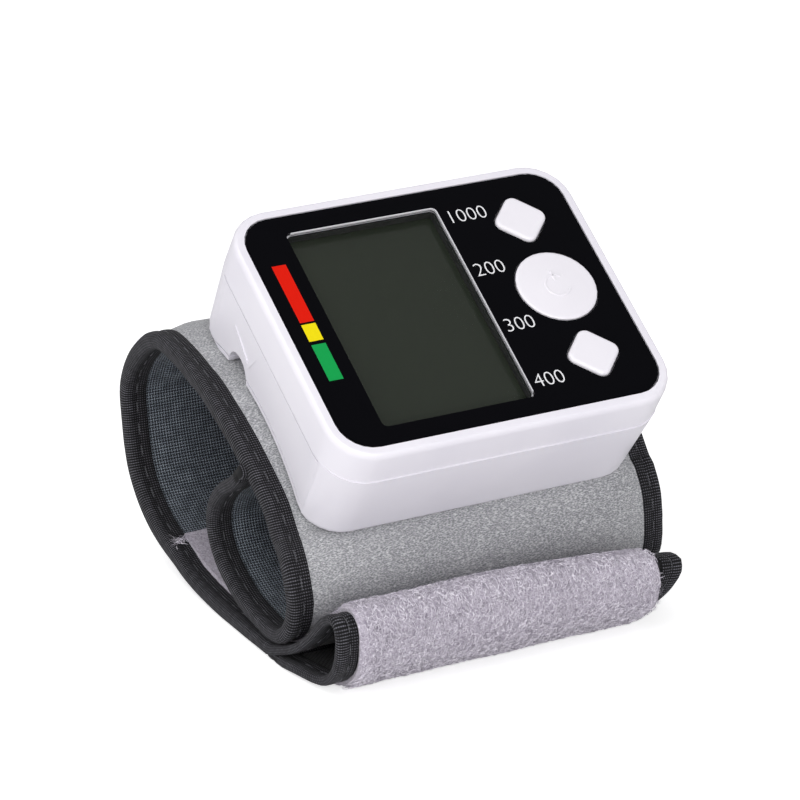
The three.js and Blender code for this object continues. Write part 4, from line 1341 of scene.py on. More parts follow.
@dataclass
class CuffBand:
    """The cuff: outer cloth, bladder, lining, inner pile and taped edges."""

    origin: Vector
    body: str = "monitor"
    width: float = 86.0
    centre_x: float = -1.6
    cloth_thickness: float = 0.8
    lining_thickness: float = 0.7
    bladder_thickness: float = 1.6
    pile_thickness: float = 1.1
    gap: float = 0.3
    inset: float = 0.9
    arch_radius: float = 48.0
    arch_centre: float = -69.2
    arch_offset: float = -3.0
    arch_span: float = 60.8
    reach: float = 46.3
    front_reach: float = 23.6
    drop: float = 39.7
    swell_share: float = 0.05
    # How far the tape's lips stand off the layers, and how much less so where the bladder fills them
    inner_lip: Place = (0.42, 0.26)
    outer_lip: Place = (0.6, -1.3)
    # Where the cloth and the lining are held by the tapes, and where they lie free of them
    outer_held: Place = (3.4, 10.5)
    lining_held: Place = (4.0, 14.0)
    puff: float = 0.12
    crease_depth: float = 0.1
    fold_depth: float = 0.9
    bladder_margin: float = 6.0
    seam_ends: Place = (7.0, 2.0)
    tuft: Threads = Threads(55, (0.7, 1.9), (0.2, 0.8), 0.055)
    tuft_spread: float = 0.45
    tuft_across: Place = (1.4, 4.2)
    tape: Tape = field(default_factory=Tape)

    # Places are shares of the reach and of the drop, from the top of the arch
    tail_shares = [
        (-0.285, 0.142), (-0.072, 0.26), (0.071, 0.343), (0.153, 0.444), (0.186, 0.545), (0.166, 0.646),
        (0.108, 0.734), (0.013, 0.81), (-0.199, 0.865), (-0.453, 0.896), (-0.708, 0.9), (-0.898, 0.87),
        (-0.99, 0.797), (-1, 0.701), (-0.965, 0.608), (-0.88, 0.532), (-0.742, 0.472),
    ]
    arch_shares = [-0.38, -0.28, -0.19, -0.09, 0, 0.09, 0.19, 0.28, 0.37]
    back_shares = [
        (0.652, -0.187), (0.752, -0.151), (0.866, -0.053), (0.944, 0.045), (0.987, 0.144), (1, 0.222),
        (0.978, 0.335), (0.95, 0.462), (0.911, 0.588), (0.849, 0.701), (0.762, 0.792), (0.654, 0.863),
        (0.525, 0.918), (0.384, 0.961), (0.244, 0.989), (0.104, 1), (-0.1, 1), (-0.37, 1), (-0.644, 1),
    ]

    # How far the cloth strays outwards at its left and right edge, by place on the line
    lean_places = [
        (9, 0.0, 0.0), (11, 0.6, 0.0), (12, 1.2, -1.2), (13, 1.8, -1.3), (14, 1.7, -0.9), (15, 1.5, 0.4),
        (16, 0.8, 2.2), (17, 0.0, 2.2), (18, 0.0, 0.8), (19, 0.0, 0.0), (24, 0.0, 0.0), (26, 1.4, 0.0),
        (28, 1.5, 0.0), (29, 1.6, 0.0), (31, 2.2, 0.0), (32, 2.8, 0.0), (33, 3.3, 0.0), (34, 3.2, 0.0),
        (35, 2.8, 0.0), (36, 2.2, 0.0), (37, 1.6, 0.0), (38, 0.7, 0.0), (40, 0.15, 0.0), (44, 0.1, 0.0),
    ]
    # How far the left edge is drawn in, by place on the line
    drift_places = [
        (11, 0.0), (12, 0.4), (13, 0.8), (14, 0.75), (15, 1.1), (16, 2.0), (17, 2.6), (18, 2.2),
        (19, 1.45), (20, 0.75), (21, 0.2), (22, 0.0),
    ]

    def __post_init__(self) -> None:
        """Lay the cuff's line from the tail inside it, over the arch and down the back to the hinge."""
        self.full_stack = (
            self.cloth_thickness + self.lining_thickness + self.bladder_thickness + 2 * self.gap
        )
        self.plain_stack = self.cloth_thickness + self.lining_thickness + self.gap
        mid_radius = self.arch_radius - self.gap - self.full_stack / 2
        self.anchor = self.to_rest(self.arch_offset, self.arch_centre + mid_radius)

        def place(share: Place) -> Place:
            """Return a place of the free part of the cuff."""
            reach = self.front_reach if share[0] < 0 else self.reach
            return self.anchor[0] + share[0] * reach, self.anchor[1] - share[1] * self.drop

        def arch_place(share: float) -> Place:
            """Find a place under the unit's arch.

            Args:
                share: Share of the arch's span, from its top.

            Returns:
                The place in the resting frame.
            """
            y = share * self.arch_span
            height = self.arch_centre + math.sqrt(mid_radius**2 - y**2)
            return self.to_rest(self.arch_offset + y, height)

        places = [place(share) for share in self.tail_shares]
        places += [arch_place(share) for share in self.arch_shares]
        places += [place(share) for share in self.back_shares]
        self.path = BandPath(places)
        first_back = len(self.tail_shares) + len(self.arch_shares)
        self.bladder_start = self.path.length_at(len(self.tail_shares) - 4)
        self.bladder_end = self.path.length_at(first_back + 11)
        self.pile_start = self.path.length_at(first_back + 12) - 5.0
        self.edges = (self.centre_x - self.width / 2, self.centre_x + self.width / 2)
        self.leans = [(self.path.length_at(i), *leans) for i, *leans in self.lean_places]
        self.drifts = [(self.path.length_at(i), drift) for i, drift in self.drift_places]
        self.band = Band(
            "cuff", self.origin, self.path, self.tape, self.width, self.edges_at, self.tape_lie,
            self.bend, rests_on="cuff_outer_cloth", turn=1.6,
        )

    @staticmethod
    def to_rest(y: float, z: float) -> Place:
        """Turn a place of the tilted unit into the resting frame."""
        cos, sin = math.cos(REST_TILT), math.sin(REST_TILT)
        return y * cos - z * sin, y * sin + z * cos

    def bend(self, x: float, s: float, place: Vector, normal: Vector) -> Vector:
        """Let the soft cuff lean out or in along its edges.

        Args:
            x: Place across the cuff.
            s: Length along its line.
            place: Even place there, as (y, z).
            normal: Outward normal there.

        Returns:
            The true place.
        """
        left_lean, right_lean = level_at(self.leans, s, 1), level_at(self.leans, s, 2)
        right = (x - self.edges[0]) / self.width
        return place + normal * (left_lean + (right_lean - left_lean) * right)

    def edges_at(self, s: float) -> Place:
        """Return the cuff's edges at a length along it: the left one is drawn in below the unit."""
        return self.edges[0] + level_at(self.drifts, s), self.edges[1]

    def inner_edges(self, s: float) -> Place:
        """Return the edges of the cloth inside the tapes."""
        left, right = self.edges_at(s)
        return left + self.inset, right - self.inset

    def fill(self, s: float) -> float:
        """Find how far the bladder fills the cuff.

        Args:
            s: Length along the cuff.

        Returns:
            The fill, from 0 to 1.
        """
        swell = self.swell_share * self.path.total
        rise = smoothstep(s, self.bladder_start - swell, self.bladder_start)
        fall = 1 - smoothstep(s, self.bladder_end, self.bladder_end + swell)
        return rise * fall

    def stack(self, s: float) -> float:
        """Return the height of the cuff's layers at a length along it."""
        return self.plain_stack + (self.full_stack - self.plain_stack) * self.fill(s)

    def tape_lie(self, s: float) -> Place:
        """Find the faces of the side tapes, which are drawn in where the cuff is full.

        Args:
            s: Length along the cuff.

        Returns:
            Offsets of the inner and the outer face from the line.
        """
        half, fill = self.stack(s) / 2, self.fill(s)
        (inner, more), (outer, less) = self.inner_lip, self.outer_lip
        return -half - inner - more * fill, half + outer + less * fill

    def inward(self, x: float, s: float) -> float:
        """Return the distance of a place from the cuff's nearer edge."""
        left, right = self.edges_at(s)
        return min(x - left, right - x)

    def outer_offset(self, x: float, s: float) -> float:
        """Find the outer cloth's face: pulled in along the tapes, gently uneven elsewhere.

        Args:
            x: Place across the cuff.
            s: Length along its line.

        Returns:
            Offset from the line.
        """
        full = self.stack(s) / 2 + self.puff
        held = min(self.tape_lie(s)[1] - self.tape.thickness - 0.06, full)
        uneven = 0.3 * (ripple(x, s, 19, 15, 1.7) - 1) * 0.5
        share = smoothstep(self.inward(x, s), *self.outer_held)
        return held + (full + uneven - held) * share

    def lining_offset(self, x: float, s: float) -> float:
        """Find the lining's inner face: held at the tapes, full and creased between them.

        Args:
            x: Place across the cuff.
            s: Length along its line.

        Returns:
            Offset from the line.
        """
        edge = self.tape_lie(s)[0] + self.tape.thickness + 0.08
        middle = -self.stack(s) / 2 - 0.1
        share = smoothstep(self.inward(x, s), *self.lining_held)
        crease = ripple(x, s, 17, 4.2, 5.3) + 0.5 * ripple(x + s * 0.7, s, 9, 3.1, 8.9)
        swell = self.stack(s) / self.full_stack
        fold = smoothstep(ripple(x, s, 34, 11, 14.6), 0.25, 0.5)
        uneven = self.crease_depth * crease - self.fold_depth * fold
        return edge + (middle - edge) * share + uneven * share * swell

    def build(self, looks: Looks) -> list[Piece]:
        """Build the cuff's pieces.

        Args:
            looks: Finishes by name.

        Returns:
            The new pieces.
        """
        total = self.path.total
        stops = steps_between(1.0, total, 1.3)
        layers = (
            ("cuff_outer_cloth", self.outer_offset, 1.6, self.cloth_thickness, "knit", "cuff_cloth"),
            ("cuff_inner_lining", self.lining_offset, 1.3, -self.lining_thickness, "weave", "cuff_lining"),
        )
        cloths = []
        for name, offset, step, thickness, look, node in layers:
            item = self.band.cloth(name, stops, self.inner_edges, offset, step, thickness)
            cloths.append(dress(item, looks[look], node, node))
        made = [
            *cloths,
            self.build_bladder(looks["rubber"]),
            self.build_pile(looks["pile"]),
            self.build_tuft(looks["nap"]),
            *self.band.bind(
                steps_between(self.tape.width * 0.9, total + self.gap, self.tape.step),
                (self.seam_ends[0], total - self.seam_ends[1]),
                ("cuff_binding_tail", 0.0, -1, self.tape_lie(0.0)),
                looks,
            ),
        ]
        for item in made:
            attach(item, self.body)
        return made

    def build_bladder(self, material: bpy.types.Material) -> Piece:
        """Build the air bladder as a thin closed cushion between cloth and lining.

        Args:
            material: Its rubber.

        Returns:
            The bladder.
        """
        swell = self.swell_share * self.path.total
        start, end = self.bladder_start - swell / 4, self.bladder_end + swell / 4
        margin = self.tape.width + self.bladder_margin
        low, high = self.edges[0] + margin, self.edges[1] - margin

        def section(s: float) -> list[Place]:
            """Draw the bladder's lens-shaped section.

            Args:
                s: Length along the line.

            Returns:
                Points as (across, offset).
            """
            top = self.stack(s) / 2 - self.cloth_thickness - 0.25
            bottom = -self.stack(s) / 2 + self.lining_thickness + 0.55
            full = min(smoothstep(s, start, start + 6), 1 - smoothstep(s, end - 6, end))
            middle = (top + bottom) / 2
            half = max((top - bottom) / 2 * full, 0.05)
            across = steps_between(low, high, 3.0)
            bulge = [1 - ((x - (low + high) / 2) / ((high - low) / 2)) ** 8 for x in across]
            upper = [(x, middle + half * max(b, 0.1)) for x, b in zip(across, bulge)]
            lower = [(x, middle - half * max(b, 0.1)) for x, b in zip(across, bulge)]
            return upper + lower[::-1]

        item = self.band.sweep("bladder_pouch", steps_between(start, end, 2.5), section, closed=True)
        face_outwards(item)
        smooth(item, 50)
        dress(item, material, "bladder", "air_bladder")
        return item

    def build_pile(self, material: bpy.types.Material) -> Piece:
        """Build the pile patch on the floor of the cuff.

        Args:
            material: Its pile.

        Returns:
            The patch.
        """
        low, high = self.edges[0] + self.tape.width - 0.4, self.edges[1] - self.tape.width + 0.4

        def offset(x: float, s: float) -> float:
            """Return the pile's woolly inner face."""
            nap = 0.22 * ripple(x, s, 1.3, 1.3, 2.2)
            return -self.stack(s) / 2 - self.gap - self.pile_thickness + 0.2 + nap

        stops = steps_between(self.pile_start, self.path.total, 0.9)
        item = self.band.cloth("cuff_inner_pile", stops, lambda s: (low, high), offset, 0.9, -0.9)
        dress(item, material, "pile", "cuff_pile")
        return item

    def build_tuft(self, material: bpy.types.Material) -> Piece:
        """Fray the pile's corner out over the left tape, in one small tuft.

        Args:
            material: Its threads.

        Returns:
            The tuft.
        """
        rng = random.Random(12)
        centre, roots = self.path.length_at(37) + 2.8, []
        for _ in range(self.tuft.count):
            s = rng.gauss(centre, self.tuft_spread)
            x = self.edges[0] + rng.uniform(*self.tuft_across)
            roots.append((s, x, self.tape_lie(s)[0] + self.tuft.root))
        item = self.band.raise_threads("cuff_frayed_tuft", roots, rng, self.tuft)
        return dress(item, material, "pile")


@dataclass
class ClosingStrap:
    """The closing strap, from the hinge line forward, up, over and down into an open roll."""

    cuff: CuffBand
    body: str = "strap"
    width: float = 75.5
    centre_x: float = -4.75
    cloth_thickness: float = 0.6
    pile_thickness: float = 1.1
    fluff: float = 1.05
    inset: float = 0.7
    reach: float = 25.8
    rise: float = 17.0
    tape: Tape = field(default_factory=lambda: Tape(thickness=0.36))
    tape_lie: Place = (-1.2, 0.7)
    lead_in: float = 7.0
    hinge_length: float = 5.0
    under_tape: float = 0.45
    seam_ends: Place = (1.5, 1.0)
    nap: Threads = Threads(26000, (0.7, 1.6), (0.15, 0.5), 0.065)

    # How far the left and the right edge stray to the right, by place on the line, as the roll is askew
    drift_places = [
        (0, 0.0, 0.0), (7, 0.0, 0.0), (8, 0.0, 0.5), (9, 0.0, 1.1), (10, 0.0, 1.5), (11, 0.0, 0.8),
        (12, 0.0, -1.2), (13, 0.0, -3.8), (14, 0.0, -5.4), (15, -0.2, -5.8), (16, -0.7, -5.8),
        (17, -1.1, -5.8), (18, -1.7, -5.8), (19, -1.9, -5.8),
    ]

    def __post_init__(self) -> None:
        """Lay the strap's line from the hinge to the tucked end."""
        cuff = self.cuff
        gap = cuff.gap
        table = cuff.anchor[1] - cuff.drop - (cuff.plain_stack / 2 + gap + self.under_tape)
        hinge = cuff.anchor[0] + cuff.back_shares[-1][0] * cuff.front_reach - gap
        floor = (self.cloth_thickness / 2 + gap + self.under_tape) / self.rise
        roll = (self.cloth_thickness / 2 + gap + self.pile_thickness + gap / 3) / self.rise
        # Places are shares of the reach and of the rise, from the hinge on the table
        shares = [
            (0, 0.1), (0.07, 0.104), (0.16, 0.145), (0.27, 0.205), (0.38, 0.285), (0.49, 0.4),
            (0.6, 0.55), (0.7, 0.73), (0.79, 0.865), (0.885, 0.94), (0.96, 0.925), (0.998, 0.8),
            (0.985, 0.62), (0.925, 0.43), (0.835, 0.265), (0.735, 0.15), (0.64, roll + 0.01),
            (0.55, roll), (0.42, roll - 0.004), (0.25, floor + 0.01), (0.04, floor + 0.01),
        ]
        self.path = BandPath([(hinge - y * self.reach, table + z * self.rise) for y, z in shares])
        self.table = table
        self.front = hinge - self.reach
        self.taper_end = self.path.length_at(8)
        self.drifts = [(self.path.length_at(i), *drifts) for i, *drifts in self.drift_places]
        self.band = Band(
            "strap", cuff.origin, self.path, self.tape, self.width, self.edges, self.lie, self.bend,
            rests_on="strap_backing_cloth", turn=1.2,
        )
        self.hinge_y = (cuff.origin.y / MM + hinge) * MM

    def bend(self, x: float, s: float, place: Vector, normal: Vector) -> Vector:
        """Let the roll sag towards its right end, bulge low at its front and rest on the table.

        Args:
            x: Place across the strap.
            s: Length along its line.
            place: Even place there, as (y, z).
            normal: Outward normal there; not used.

        Returns:
            The true place.
        """
        sag = 1 - 0.17 * min(max((x + 20) / 53, 0.0), 1.0) ** 2
        height = place.y - self.table
        low = 1 - smoothstep(height, 0.25 * self.rise, 0.75 * self.rise)
        near = smoothstep(self.front + 0.45 * self.reach - place.x, 0.0, 0.3 * self.reach)
        wave = 0.5 * ripple(x, s, 26, 40, 12.3)
        return Vector((place.x - low * near - wave * near, self.table + max(height * sag, 0.1)))

    def edges(self, s: float) -> Place:
        """Find the strap's edges, which taper from the cuff's width.

        Args:
            s: Length along the strap.

        Returns:
            The left and the right edge.
        """
        narrow = (self.centre_x - self.width / 2, self.centre_x + self.width / 2)
        t = smoothstep(s, 0, self.taper_end)
        left, right = [a + (b - a) * t for a, b in zip(self.cuff.edges, narrow)]
        return left + level_at(self.drifts, s, 1), right + level_at(self.drifts, s, 2)

    def lie(self, s: float) -> Place:
        """Return the offsets of the side tapes' faces: they go on from the cuff's tapes."""
        outer = self.cuff.tape_lie(self.cuff.path.total)[1]
        return self.tape_lie[0], outer + (self.tape_lie[1] - outer) * smoothstep(s, 0.0, self.lead_in)

    def pile_edges(self, s: float) -> Place:
        """Find the pile's edges: under the tapes' lips, and over the tape where the roll tapers.

        Args:
            s: Length along the strap.

        Returns:
            The left and the right edge.
        """
        left, right = self.edges(s)
        inset = self.tape.width - 0.6
        straight = self.centre_x + self.width / 2 - inset
        t = smoothstep(s, self.taper_end * 0.7, self.taper_end)
        return left + inset, (right - inset) * (1 - t) + min(straight - 0.8, right - 1.0) * t

    def inner_edges(self, s: float) -> Place:
        """Return the edges of the cloth inside the tapes."""
        left, right = self.edges(s)
        return left + self.inset, right - self.inset

    def backing_offset(self, x: float, s: float) -> float:
        """Return the backing cloth's face, gently uneven."""
        return self.cloth_thickness / 2 + 0.05 * ripple(x, s, 15, 11, 6.1)

    def pile_offset(self, x: float, s: float) -> float:
        """Find the pile's outer face, with its tufts and a slow swell.

        Args:
            x: Place across the strap.
            s: Length along its line.

        Returns:
            Offset from the line.
        """
        left, right = self.pile_edges(s)
        held = 1 - smoothstep(min(x - left, right - x), 0.0, 1.8)
        tufts = 0.12 * ripple(x, s, 1.2, 1.2, 4.4) + 0.12 * ripple(x, s, 0.7, 0.7, 7.7)
        slow = 0.3 * ripple(x, s, 16, 12, 9.1)
        return -self.cloth_thickness / 2 - self.pile_thickness - self.fluff + 0.6 * held + tufts + slow

    def build(self, looks: Looks) -> list[Piece]:
        """Build the strap's pieces.

        Args:
            looks: Finishes by name.

        Returns:
            The new pieces.
        """
        total, width = self.path.total, self.tape.width
        cloth = self.band.cloth(
            "strap_backing_cloth", steps_between(0.0, total - 1.0, 1.3), self.inner_edges,
            self.backing_offset, 1.8, self.cloth_thickness,
        )
        pile = self.band.cloth(
            "strap_loop_pile", steps_between(0.4, total - width + 0.4, 0.62), self.pile_edges,
            self.pile_offset, 0.62, -0.8,
        )
        nap = self.build_nap(looks["nap"])
        made = [
            dress(cloth, looks["backing"], "cuff_cloth", "strap_cloth"),
            dress(pile, looks["pile"], "pile", "strap_pile"),
            nap,
            *self.band.bind(
                steps_between(0.0, total - width * 0.9, self.tape.step),
                (self.seam_ends[0], total - width - self.seam_ends[1]),
                ("strap_binding_end", total, 1, self.tape_lie),
                looks,
            ),
        ]
        for item in made:
            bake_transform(item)
        return made

    def build_nap(self, material: bpy.types.Material) -> Piece:
        """Raise curled threads all over the pile.

        Args:
            material: Their finish.

        Returns:
            All threads, as one mesh of narrow bent ribbons.
        """
        rng = random.Random(41)
        start, end = self.seam_ends[0], self.path.total - self.tape.width
        roots = []
        for _ in range(self.nap.count):
            s = rng.uniform(start, end)
            left, right = self.pile_edges(s)
            x = rng.uniform(left + 0.7, right)
            roots.append((s, x, self.pile_offset(x, s) + self.nap.root))
        item = self.band.raise_threads("strap_nap_threads", roots, rng, self.nap)
        return dress(item, material, "pile")


# Measuring unit


@dataclass
class MeasuringUnit:
    """The white case with its black face, window, keys and printed colour bars."""

    matrix: Matrix
    body: str = "monitor"
    bar_sides: Place = (-32.2, -29.15)
    bar_lines: tuple = (
        ("bar_high", 2.6, 16.7, "red"), ("bar_raised", -2.0, 2.1, "yellow"),
        ("bar_normal", -11.65, -2.85, "green"),
    )
    ink_height: float = 0.03
    key_x: float = 23.3
    sign_y: float = -0.2
    sign_radius: float = 2.5
    sign_stroke: float = 0.5
    sign_base: float = 0.3
    sign_height: float = 0.42
    sign_gap: float = math.radians(38)
    number_left: float = 8.1
    number_lines: tuple[tuple[int, float], ...] = ((1000, 19.2), (200, 5.6), (300, -8.5), (400, -22.3))
    number_size: float = 4.6
    number_thinning: float = 0.075
    rim_z: float = -8.7
    rim_rise: float = 0.28
    foot_z: float = -27.0
    door_growth: Place = (1.0126, 1.008)
    window_size: Place = (33.3, 48.05)
    window_centre: Place = (-9.5, -0.125)
    window_round: float = 1.2
    window_growth: float = 0.75
    panel_foot: float = -3.2
    ledge: float = 0.24

    def build(self, looks: Looks, nodes: dict[str, Piece]) -> list[Piece]:
        """Dress the case and build what is printed and raised on it.

        Args:
            looks: Finishes by name.
            nodes: CAD nodes by name.

        Returns:
            The new pieces.
        """
        made = []
        for name, body, slot, look, shape in (
            ("upper_housing", self.body, "shell", "shell", self.open_window),
            ("lower_housing", self.body, "shell", "shell", self.close_parting),
            ("battery_door", "battery_door", "shell", "shell", self.close_door),
            ("power_key", "power_key", "keys", "key", None),
            ("upper_key", "upper_key", "keys", "key", None),
            ("lower_key", "lower_key", "keys", "key", None),
            ("face_panel", self.body, "panel", "panel", self.open_window),
            ("window_lens", self.body, "lens", "lens", self.open_window),
        ):
            made.append(dress(adopt(nodes[name], body, shape), looks[look], slot, name))
        marks = [self.build_bar(name, low, high, looks[look]) for name, low, high, look in self.bar_lines]
        marks += [self.build_number(number, y, looks["white"]) for number, y in self.number_lines]
        sign = self.build_sign(looks["key"])
        edge = self.build_frame("window_edge_line", 0.02, 0.26, (-0.52, -0.04), 0.6)
        # A black foam gasket: the dark band it lays along the window's walls is painted shade for the
        # recess
        shade_gasket = self.build_frame("window_shade_gasket", 0.02, 0.5, (-2.7, -1.2), 0.0)
        dress(edge, looks["line"], "display_frame")
        dress(shade_gasket, looks["shade_foam"], "display_frame")
        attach(sign, "power_key")
        for item in (*marks, edge, shade_gasket):
            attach(item, self.body)
        return [*made, *marks, sign, edge, shade_gasket]

    def on_face(self, point: Vector) -> Vector:
        """Return a point of the row frame as (x, y, height) on the face, in millimetres."""
        return self.matrix.inverted() @ point / MM

    def open_window(self, point: Vector) -> Vector:
        """Move the window's back edge to where the photograph shows it.

        Args:
            point: A point of the housing, the panel or the lens.

        Returns:
            Its true place.
        """
        local = self.on_face(point)
        (width, depth), (x, y) = self.window_size, self.window_centre
        back = y + depth / 2 - self.window_growth
        near_back = back - self.window_round - 0.1 < local.y < back + 0.15
        if near_back and abs(local.x - x) < width / 2 + 0.15 and local.z > self.panel_foot:
            local.y += self.window_growth
        return self.matrix @ (local * MM)

    def close_parting(self, point: Vector) -> Vector:
        """Raise the lower half's rim to a hairline from the upper half, with a fine ledge in front.

        Args:
            point: A point of the lower half or the door.

        Returns:
            Its true place.
        """
        local = self.on_face(point)
        if abs(local.z - self.rim_z) < 0.02:
            local.z += self.rim_rise
            local.y -= self.ledge * smoothstep(-local.y, 16.0, 26.0)
        return self.matrix @ (local * MM)

    def close_door(self, point: Vector) -> Vector:
        """Let the door fill its opening but for a hairline.

        Args:
            point: A point of the door.

        Returns:
            Its true place.
        """
        local = self.on_face(self.close_parting(point))
        centre = (self.rim_z + self.foot_z) / 2
        local.y *= self.door_growth[0]
        local.z = centre + (local.z - centre) * self.door_growth[1]
        return self.matrix @ (local * MM)

    def build_frame(self, name: str, gap: float, thickness: float, levels: Place, sink: float) -> Piece:
        """Build an upright frame just inside the window's opening.

        Args:
            name: Name of the piece.
            gap: Distance from the opening's wall, in millimetres.
            thickness: Thickness of the frame.
            levels: Heights of its foot and of its top edge on the face.
            sink: How much lower its left and front sides lie, out of sight below the panel's edge.

        Returns:
            The frame.
        """
        bottom, top = levels
        width, depth = [size - 2 * gap for size in self.window_size]
        frame = add_primitive(
            bpy.ops.mesh.primitive_plane_add, name, (width, depth, 1), (*self.window_centre, bottom)
        )
        with editing():
            bpy.ops.mesh.bevel(offset=self.window_round * MM, segments=5, affect="VERTICES")
            bpy.ops.mesh.select_all(action="SELECT")
            bpy.ops.mesh.inset(thickness=thickness * MM)
            bpy.ops.mesh.delete(type="FACE")
            bpy.ops.mesh.select_all(action="SELECT")
            rise = {"value": (0, 0, (top - bottom) * MM)}
            bpy.ops.mesh.extrude_region_move(TRANSFORM_OT_translate=rise)
            bpy.ops.mesh.select_all(action="SELECT")
            bpy.ops.mesh.normals_make_consistent(inside=False)
            bpy.ops.mesh.bevel(offset=0.04 * MM, segments=1, affect="EDGES")
        left, front = [
            (centre - size / 2 + self.window_round) * MM
            for centre, size in zip(self.window_centre, self.window_size)
        ]
        for vertex in frame.data.vertices:
            if vertex.co.x < left or vertex.co.y < front:
                vertex.co.z -= sink * MM
        smooth(frame, 35)
        settle(frame, self.matrix)
        return frame

    def build_number(self, number: int, y: float, material: bpy.types.Material) -> Piece:
        """Print one white number on the panel, left of the keys.

        Args:
            number: What it reads.
            y: Its base line on the face, in millimetres.
            material: Its ink.

        Returns:
            The number.
        """
        deselect_all()
        bpy.ops.object.text_add()
        text = bpy.context.object
        text.name = text.data.name = f"number_{number}"
        text.data.body = str(number)
        text.data.size = self.number_size * MM
        text.data.extrude = self.ink_height / 2 * MM
        text.data.offset = -self.number_thinning * MM
        text.data.resolution_u = 6
        bpy.ops.object.convert(target="MESH")
        mark = bpy.context.object
        with editing():
            bpy.ops.mesh.remove_doubles(threshold=0.001 * MM)
            bpy.ops.mesh.normals_make_consistent(inside=False)
        mark.location = (self.number_left * MM, y * MM, self.ink_height / 2 * MM)
        apply_place()
        settle(mark, self.matrix)
        return dress(mark, material, "panel")

    def build_sign(self, material: bpy.types.Material) -> Piece:
        """Raise the standby sign on the power key: an open ring with a bar through the gap.

        Args:
            material: Its plastic.

        Returns:
            The sign.
        """
        width, height, radius = self.sign_stroke, self.sign_height, self.sign_radius
        middle = self.sign_base + height / 2
        ring = add_primitive(
            bpy.ops.mesh.primitive_plane_add, "standby_sign", (width, height, 1), (0, 0, middle),
            (math.pi / 2, 0, 0),
        )
        turned = Matrix.Rotation(math.pi / 2 - self.sign_gap, 4, "Z")
        ring.data.transform(turned @ Matrix.Translation((radius * MM, 0, 0)))
        with editing():
            sweep = 2 * self.sign_gap - math.tau
            bpy.ops.mesh.spin(steps=40, angle=sweep, center=(0, 0, 0), axis=(0, 0, 1))
            bpy.ops.mesh.select_all(action="SELECT")
            bpy.ops.mesh.normals_make_consistent(inside=False)
        bar_size, bar_centre = (width, radius * 1.05, height), (0, radius * 0.93, middle)
        bar = add_primitive(bpy.ops.mesh.primitive_cube_add, "standby_bar", bar_size, bar_centre)
        pick(ring)
        bar.select_set(True)
        bpy.ops.object.join()
        with editing():
            bpy.ops.mesh.bevel(offset=0.05 * MM, segments=2, affect="EDGES")
        smooth(ring, 40)
        settle(ring, self.matrix @ Matrix.Translation((self.key_x * MM, self.sign_y * MM, 0)))
        return dress(ring, material, "keys")

    def build_bar(self, name: str, low: float, high: float, material: bpy.types.Material) -> Piece:
        """Print one colour bar on the panel.

        Args:
            name: Name of the piece.
            low: Front end, in millimetres.
            high: Back end.
            material: Its ink.

        Returns:
            The bar.
        """
        left, right = self.bar_sides
        size = (right - left, high - low, self.ink_height)
        centre = ((left + right) / 2, (low + high) / 2, self.ink_height / 2)
        bar = add_primitive(bpy.ops.mesh.primitive_cube_add, name, size, centre)
        with editing():
            bpy.ops.mesh.bevel(offset=0.01 * MM, segments=1)
        settle(bar, self.matrix)
        return dress(bar, material, "panel")


@dataclass
class InnerWorks:
    """Everything inside the case, given its real finishes."""

    dressed: tuple[tuple[str, tuple[str, ...]], ...] = (
        ("black", ("power_switch", "upper_switch", "lower_switch", "pump_head", "exhaust_valve")),
        ("black", ("air_manifold", "pressure_sensor", "buzzer")),
        ("steel", ("contact_link", "contact_plus", "contact_minus", "spring_outer", "spring_inner")),
        ("steel", ("pump_motor", "case_screw_1", "case_screw_2", "case_screw_3", "case_screw_4")),
        ("rubber", ("pump_hose", "valve_hose", "display_connector")),
        ("display", ("display_glass",)),
        ("frame", ("display_frame", "cuff_plate")),
        ("board", ("circuit_board",)),
        ("cell", ("cell_outer", "cell_inner")),
    )

    def build(self, looks: Looks, nodes: dict[str, Piece]) -> list[Piece]:
        """Dress the inner pieces.

        Args:
            looks: Finishes by name.
            nodes: CAD nodes by name.

        Returns:
            The pieces.
        """
        return [dress(nodes[name], looks[look]) for look, names in self.dressed for name in names]


# Studio and looks


